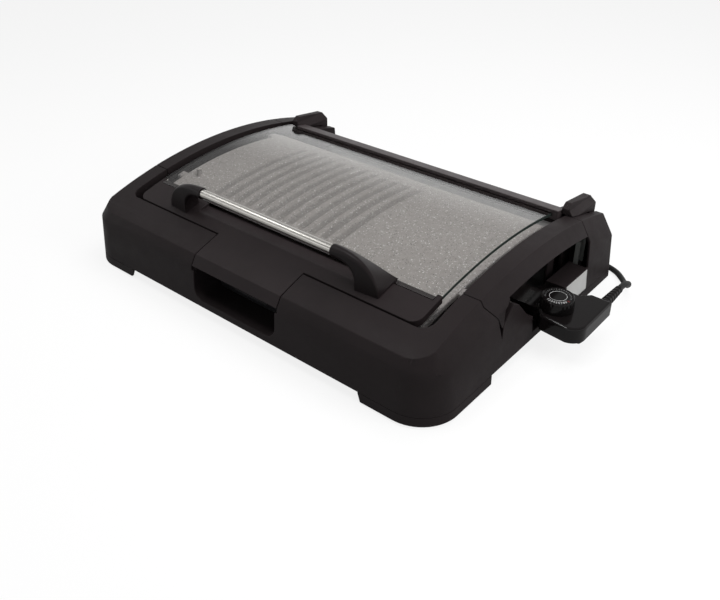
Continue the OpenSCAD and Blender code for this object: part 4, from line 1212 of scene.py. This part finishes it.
@dataclass
class Plate:
    """Cast cooking plate with a grooved and a smooth field."""

    half: float = 215.0
    bulge: float = 3.5
    front: float = 62.0
    back: float = 303.0
    drop: float = 15.0
    thick: float = 6.0
    grooves: int = 12
    pitch: float = 18.0
    first: float = -146.0
    groove_front: float = 112.0
    groove_back: float = 285.0
    depth: float = 2.6
    drain: tuple[float, float] = (-199.0, 134.0)
    drain_r: float = 3.5
    ears: tuple = ((120.0, 131.0), (287.0, 302.6))
    ear_x: tuple[float, float] = (211.0, 228.5)
    groove_half: float = 6.2
    groove_wall: float = 2.4
    groove_run: float = 9.0
    fine_step: float = 1.2
    wide_step: float = 3.5

    def build(self) -> None:
        """Makes the plate."""
        draft = Draft("hollow")
        self.skin(draft)
        for side in Side:
            for y0, y1 in self.ears:
                self.ear(draft, side, y0, y1)
        piece = draft.build("speckled_plate", "granite_coating", 40.0)
        self.drill(piece)
        register(piece, "granite_coating", "base", "grill_plate")

    def drill(self, piece: bpy.types.Object) -> None:
        """Cuts the drain hole, through which the fat runs into the drawer.

        Args:
            piece: The plate.
        """
        x, y = self.drain
        bm = bmesh.new()
        bmesh.ops.create_cone(bm, cap_ends=True, segments=32, radius1=self.drain_r * MM,
                              radius2=self.drain_r * MM, depth=3 * self.thick * MM,
                              matrix=Matrix.Translation(spot(x, y, arch_z(y, self.drop))))
        cutter = to_object(bm, "drill", "granite_coating", 30.0)
        cut = piece.modifiers.new("drill", "BOOLEAN")
        cut.operation, cut.solver, cut.object = "DIFFERENCE", "EXACT", cutter
        settle(piece)
        discard(cutter)

    def edge(self, y: float) -> float:
        """Half width of the plate at a distance behind the front wall."""
        mid, half = (self.front + self.back) / 2, (self.back - self.front) / 2
        return self.half + self.bulge * (1 - ((y - mid) / half) ** 2)

    def columns(self) -> list[float]:
        """Spaces the columns across the plate, close together over the grooves.

        Returns:
            Their places, as shares of the half width.
        """
        marks = [-1.0, -0.998, -0.995, -0.99, -0.97, -0.9, -0.8]
        for k in range(self.grooves):
            mid = self.first + k * self.pitch
            marks += [(mid + self.pitch * j / 20) / self.half for j in range(-10, 10)]
        last = self.first + (self.grooves - 0.5) * self.pitch
        marks += [last / self.half, 0.4, 0.5, 0.6, 0.7, 0.8, 0.9, 0.97, 0.99, 0.995, 0.998, 1.0]
        return sorted(set(marks))

    def groove(self, x: float, y: float) -> float:
        """Works out the depth of the grooves at a point of the plate.

        Args:
            x: Distance from the base's middle, in millimetres.
            y: Distance behind the front wall, in millimetres.

        Returns:
            The depth, in millimetres.
        """
        step = (x - self.first) / self.pitch
        if step < -0.5 or step > self.grooves - 0.5:
            return 0.0
        away = abs(step - round(step)) * self.pitch
        shape = smooth((self.groove_half - away) / self.groove_wall)
        fade = (smooth((y - self.groove_front) / self.groove_run)
                * smooth((self.groove_back - y) / self.groove_run))
        return self.depth * shape * fade

    def skin(self, draft: Draft) -> None:
        """Makes the top, sides and underside of the plate, without its ears.

        Args:
            draft: The mesh that they go into.
        """
        shares = self.columns()
        rows = [self.front, self.front + 0.4, self.front + 1.2, self.front + 2.5]
        y = self.front + 6
        while y < self.back - 4:
            rows.append(y)
            near = min(abs(y - self.groove_front - 4), abs(y - self.groove_back + 4)) < 8
            y += self.fine_step if near else self.wide_step
        rows += [self.back - 2.5, self.back - 1.2, self.back - 0.4, self.back]
        rings = []
        for y in rows:
            half = self.edge(y)
            sink = self.round_off(min(y - self.front, self.back - y))
            ring = []
            for s in shares:
                x = s * half
                side = self.round_off(half - abs(x))
                z = arch_z(y, self.drop) - max(sink, side) - self.groove(x, y)
                ring.append((x, y, z))
                # Share of the groove depth, which the coating reads for its painted shade in the
                # grooves.
                draft.marks[(round(x, 3), round(y, 3))] = self.groove(x, y) / self.depth
            low = arch_z(y, self.drop + self.thick)
            ring += [(s * half, y, low) for s in reversed(shares)]
            rings.append(ring)
        draft.loft(rings)

    @staticmethod
    def round_off(away: float, radius: float = 1.6) -> float:
        """Works out how far the rounded edge lies below the top.

        Args:
            away: Distance from the side, in millimetres.
            radius: Radius of the edge, in millimetres.

        Returns:
            The drop, in millimetres.
        """
        if away >= radius:
            return 0.0
        return radius - math.sqrt(max(radius ** 2 - (radius - away) ** 2, 0.0))

    def ear(self, draft: Draft, side: Side, y0: float, y1: float) -> None:
        """One ear that rests on the base.

        Args:
            draft: The mesh that it goes into.
            side: The side of the plate.
            y0: Its front end.
            y1: Its rear end.
        """
        (x0, x1), r = self.ear_x, 0.8
        rings = []
        for y, inset in ((y0, r), (y0 + 0.25, r * 0.3), (y0 + r, 0), (y1 - r, 0),
                         (y1 - 0.25, r * 0.3), (y1, r)):
            top, low = arch_z(y, self.drop + 1) - inset, arch_z(y, self.drop + self.thick)
            rings.append([(side.value * x, y, z) for x, z in (
                (x0, low), (x1 - inset, low), (x1 - inset, top - r), (x1 - r - inset, top),
                (x0, top))])
        draft.loft(rings)


# ---------------------------------------------------------------- lid


@dataclass
class Lid:
    """Frame, glass, rail, hinge brackets and handle."""

    glass_half: float = 217.5
    glass_t: float = 4.0
    glass_y: tuple[float, float, float] = (83.3, 92.25, 328.0)
    glass_neck: float = 211.5
    # Width of the pane's ground edges, drawn as near-black strips of painted shade.
    ground: float = 0.3
    tube_y: float = 59.0
    tube_z: float = 121.5
    tube_d: float = 10.5
    tube_half: float = 101.5
    tube_tuck: float = 11.8
    tube_wall: float = 1.2
    post_tip: float = 163.0
    post_wall: float = 1.6
    post_back: float = 88.5
    post_span: float = 0.52
    post_front: tuple[float, float] = (2.6, 0.55)
    post_rear: tuple[float, float] = (1.7, 1.15)
    post_under: tuple[float, float] = (3, 0.4)
    post_heel: float = 8

    def build(self) -> None:
        """Makes and dresses the lid."""
        for node, width in (("lid_frame", 0.6), ("rear_rail", 0.9), ("hinge_bracket_left", 0.8),
                            ("hinge_bracket_right", 0.8)):
            eased(node, width, 3)
        dress("handle_screws")
        self.glass()
        self.tube()
        for side in Side:
            self.post(side)

    def glass(self) -> None:
        """The arched pane, with near-black strips of painted shade at its ground edges."""
        wide, steps = self.glass_half - self.ground, 56
        front, start, end = self.glass_y
        neck = self.glass_neck
        rows: list[tuple[float, float]] = [(front, neck), (start - 0.05, neck), (start, wide)]
        rows += [(start + (end - start) * k / steps, wide) for k in range(1, steps + 1)]
        rings = []
        for y, half in rows:
            rings.append([(x, y, arch_z(y, d)) for x, d in (
                (half, 0.0), (half, self.glass_t), (-half, self.glass_t), (-half, 0.0))])
        draft = Draft()
        draft.loft(rings)
        draft.piece("arched_pane", "lid_glass", "lid", "lid_glass", angle=12.0)
        self.ground_edges([row for row in rows if row[1] > neck])

    def ground_edges(self, rows: list[tuple[float, float]]) -> None:
        """Near-black strips at both side edges of the pane: painted shade for the dark look of its
        ground edges.

        Args:
            rows: Distance behind the front wall and half width of each section.
        """
        draft = Draft()
        for side in Side:
            rings = [[(side.value * x, y, arch_z(y, d)) for x, d in (
                (half, 0.0), (self.glass_half, self.ground),
                (self.glass_half, self.glass_t - self.ground),
                (half, self.glass_t))] for y, half in rows]
            draft.loft(rings)
        piece = draft.build("ground_edges", "lid_glass", 30.0)
        # Near-black colour: painted shade for the dark look of the glass edge.
        piece.data.materials[0] = Dull("glass_edge", (0.03, 0.04, 0.036, 1), 0.5, 0.4).make()
        register(piece, "lid_glass", "lid")

    def tube(self) -> None:
        """Steel tube of the handle."""
        r, rim = self.tube_d / 2, 0.2
        bore = r - self.tube_wall
        x = self.tube_half + self.tube_tuck
        outline = [(bore, 0.0), (r - rim, 0.0), (r, rim), (r, 2 * x - rim), (r - rim, 2 * x),
                   (bore, 2 * x), (bore, 0.0)]
        place = Matrix.Translation((-x, self.tube_y, self.tube_z)) @ Matrix.Rotation(
            math.pi / 2, 4, "Y")
        draft = Draft()
        draft.lathe(outline, place, 96)
        draft.piece("steel_tube", "handle_steel", "lid", "handle_tube")

    @staticmethod
    def fall(s: float, bend: tuple[float, float]) -> float:
        """Height left at a share of the way, on a curve that falls from 1 to 0."""
        return (1 - s ** bend[0]) ** bend[1]

    def section(self, s: float) -> list[Point]:
        """Outline of a post across x.

        Args:
            s: Share of the way from the tube to the outer tip.

        Returns:
            The outline's points, clipped to the frame's top.
        """
        wall = self.post_wall
        radius = (self.tube_d / 2 + wall) * (1 - s) + 2 * s
        foot = arch_z(self.tube_y) + 1
        peak = self.tube_z + self.tube_d / 2 + wall - foot
        front_fall, rear_fall = self.fall(s, self.post_front), self.fall(s, self.post_rear)
        ridge = foot + peak * front_fall
        rear = foot + self.post_heel + (peak - self.post_heel) * rear_fall
        rear_y = self.tube_y + (self.post_back - self.tube_y) * s ** 1.3
        k = min(s / self.post_span, 1.0)
        under = self.fall(k, self.post_under)
        low = foot + (self.tube_z - self.tube_d / 2 - wall - foot) * under
        if k >= 1:
            low -= 10
        x = self.tube_half + (self.post_tip - self.tube_half) * s
        front = (self.tube_y, ridge - radius)
        back = (rear_y, rear - radius)
        corners = [(self.tube_y, min(low + radius, front[1])), (rear_y, min(low + radius, back[1])),
                   back, front]
        lean = math.degrees(math.atan2(front[1] - back[1], max(back[0] - front[0], 1e-3)))
        lean = lean if s > 0.02 else 0.0
        spans = [(180, 270), (270, 360), (0, 90 - lean), (90 - lean, 180)]
        points = []
        for (cy, cz), (a0, a1) in zip(corners, spans):
            for j in range(9):
                a = math.radians(a0 + (a1 - a0) * j / 8)
                y, z = cy + radius * math.cos(a), cz + radius * math.sin(a)
                points.append((x, y, max(z, arch_z(y, -0.1))))
        return points

    def post(self, side: Side) -> None:
        """One curved post of the handle.

        Args:
            side: The side that it stands on.
        """
        shares = [0.0, 0.02, 0.05, 0.09, 0.14, 0.19, 0.24, 0.29, 0.34, 0.38, 0.42, 0.45, 0.475,
                  0.495, 0.508, 0.516, 0.52, 0.56, 0.61, 0.66, 0.71, 0.76, 0.81, 0.86, 0.90,
                  0.94, 0.97, 0.99, 1.0]
        rings = [[(side.value * x, y, z) for x, y, z in self.section(s)] for s in shares]
        x0 = side.value * self.tube_half
        lip = [[(x0, self.tube_y + (y - self.tube_y) * 0.93,
                 self.tube_z + (z - self.tube_z) * 0.93) for _, y, z in rings[0]]]
        rings[0] = [(x0 + side.value * 0.5, y, z) for _, y, z in rings[0]]
        draft = Draft()
        draft.loft(lip + rings)
        name = "post_" + side.name.lower()
        draft.piece(name, "post_plastic", "lid", "handle_" + name, angle=38.0)


# ---------------------------------------------------------------- controller and drawer


@dataclass
class Controller:
    """Plug-in thermostat with its knob."""

    knob_x: float = 284.0
    knob_y: float = 216.0
    top: float = 47.75
    knob_r: float = 18.1
    knob_h: float = 14.0
    gap: float = 0.3
    dish: float = 0.5
    grips: int = 24
    ring_r: tuple[float, float] = (9.25, 9.65)
    line_r: tuple[float, float] = (15.75, 16.05)
    mark_r: float = 13.7
    figure_r: float = 13.5
    figure_h: float = 4.2
    figure_start: float = 245.0
    figure_step: float = 11.2
    seam_z: float = 38.0
    seam_reach: float = 0.6
    small_share: float = 0.08
    shell_h: float = 19.2
    neck_x: float = 262.0
    lens_at: tuple[float, float] = (3.0, 27.0)
    screws: tuple = ((279.0, 237.0), (317.0, 203.0), (301.0, 250.0))

    def build(self) -> None:
        """Makes and dresses the thermostat."""
        eased("controller_base", 2.0, 4, share=self.shoulder)
        eased("controller_cover", 3.2, 6, share=self.shoulder)
        dress("contact_sleeves", "temperature_probe", "indicator_lens", "controller_screws",
              "knob_spindle")
        self.knob()
        self.dial()

    def shoulder(self, place: Vector) -> float:
        """Shares out the easing: all at the outer rim, none at the seam, little elsewhere.

        Args:
            place: The edge's middle, in working millimetres.

        Returns:
            The edge's share of the easing.
        """
        if abs(place.z - self.seam_z) < self.seam_reach:
            return 0.0
        rim = place.z > self.top - 0.3 or place.z < self.top - self.shell_h
        axle = Vector((self.knob_x, self.knob_y))
        holes = [(axle, 6), (axle + Vector(self.lens_at), 4)] + [
            (Vector(screw), 5) for screw in self.screws]
        inner = any((middle - place.xy).length < reach for middle, reach in holes)
        return 1.0 if rim and not inner and place.x > self.neck_x else self.small_share

    def knob(self) -> None:
        """The knob with its smooth flared side, small grips at the rim and flat top."""
        base = self.top + self.gap
        r, h = self.knob_r, self.knob_h
        rings = []
        grips, steps = self.grips, 10
        for height, inset, deep in ((0.0, -0.35, 0.0), (0.3, -0.6, 0.0), (h * 0.45, -0.35, 0.0),
                                    (h - 4.6, 0.0, 0.0), (h - 3.4, 0.0, 0.6), (h - 1.6, 0.05, 0.8),
                                    (h - 0.9, 0.3, 0.7), (h - 0.35, 0.8, 0.3), (h, 1.7, 0.0),
                                    (h - 0.05, 2.1, 0.0), (h - 0.45, 2.5, 0.0),
                                    (h - self.dish, 3.2, 0.0), (h - self.dish, 12.0, 0.0)):
            ring = []
            for k in range(grips * steps):
                a = math.tau * k / (grips * steps)
                wave = abs((k % steps) / steps - 0.5) * 2
                dip = 0.7 * deep * (1 - smooth(wave / 0.8))
                q = r - inset - dip
                ring.append((self.knob_x + q * math.cos(a), self.knob_y + q * math.sin(a),
                             base + height))
            rings.append(ring)
        draft = Draft()
        draft.loft(rings)
        draft.piece("gripped_knob", "knob_black", "knob", "control_knob", angle=30.0)

    def dial(self) -> None:
        """Printed rings, strokes, numbers and a red mark on the knob's top."""
        tree = ring_tree()
        top = self.top + self.gap + self.knob_h - self.dish
        place = Matrix.Translation(spot(self.knob_x, self.knob_y, top))
        flat = Matrix.Translation((self.knob_x, self.knob_y, top))
        ring = Draft()
        ring.lathe(self.hoop(*self.ring_r, 0.3), flat, 96)
        ring.piece("dial_ring", "ring_chrome", "knob", "knob_ring")
        line = Draft()
        line.lathe(self.hoop(*self.line_r, 0.08), flat, 96)
        register(line.build("dial_line", "print_grey"), "ring_chrome", "knob")
        stroke, mark = (0.0018, 0.0005, 0.0002), (0.0026, 0.0016, 0.0002)
        for name, finish, slot, size, count, start, sweep in (
                ("dial_strokes", "print_grey", "ring_chrome", stroke, 19, 12, 216),
                ("dial_red_mark", "mark_red", "lamp_red", mark, 1, -10, 0)):
            template = self.block("template", size)
            marks = grown(name, finish, tree, [Vector()], {
                "Template": template, "Count": count, "Radius": self.mark_r * MM,
                "Start": math.radians(start), "Sweep": math.radians(sweep)}, place)
            discard(template)
            register(marks, slot, "knob")
        self.numbers(place)

    @staticmethod
    def hoop(inner: float, outer: float, high: float) -> list[tuple[float, float]]:
        """Outline of a flat ring that stands a little out of the knob's top."""
        return [(inner, -0.2), (inner, high - 0.05), (inner + 0.05, high), (outer - 0.05, high),
                (outer, high - 0.05), (outer, -0.2), (inner, -0.2)]

    @staticmethod
    def block(name: str, size: Point) -> bpy.types.Object:
        """Makes a small block with its middle at the origin, as a template.

        Args:
            name: The block's name.
            size: Its size on each axis, in metres.

        Returns:
            The block.
        """
        bm = bmesh.new()
        bmesh.ops.create_cube(bm, size=1.0, matrix=Matrix.Diagonal((*size, 1.0)))
        return to_object(bm, name, "ring_chrome", 30.0)

    def numbers(self, place: Matrix) -> None:
        """Plain numbers from 1 to 9 round the lower half of the dial.

        Args:
            place: Where the dial's middle is.
        """
        merged = bmesh.new()
        for k in range(9):
            angle = math.radians(self.figure_start + self.figure_step * k)
            data = bpy.data.curves.new("figure", "FONT")
            data.body = str(k + 1)
            data.size = self.figure_h * MM
            data.extrude = 0.0001
            data.align_x = "CENTER"
            data.align_y = "CENTER"
            text = put("figure", data)
            bpy.context.view_layer.update()
            mesh = bpy.data.meshes.new_from_object(text)
            turn = Matrix.Rotation(angle + math.pi / 2, 4, "Z")
            reach = self.figure_r * MM
            move = Matrix.Translation((reach * math.cos(angle), reach * math.sin(angle), 0.0001))
            mesh.transform(place @ move @ turn)
            merged.from_mesh(mesh)
            bpy.data.objects.remove(text)
            bpy.data.meshes.remove(mesh)
        bmesh.ops.remove_doubles(merged, verts=merged.verts, dist=1e-6)
        piece = to_object(merged, "dial_numbers", "ring_chrome", 30.0)
        register(piece, "ring_chrome", "knob")


@dataclass
class Drawer:
    """The drip drawer."""

    rim: float = 0.35

    def build(self) -> None:
        """Eases the drawer's edges."""
        eased("drip_drawer", self.rim, 2)


def main() -> None:
    """Builds the studio and every sub-assembly, in order."""
    logging.basicConfig(level=logging.INFO, format="%(name)s %(message)s")
    for part in (Studio(), CordSet(), Base(), Plate(), Lid(), Controller(), Drawer()):
        part.build()
        LOG.info("built %s", type(part).__name__)
    Studio.spare(bpy.data.objects["arched_pane"], "edge_light", "rail_light")


if __name__ == "__main__":
    main()
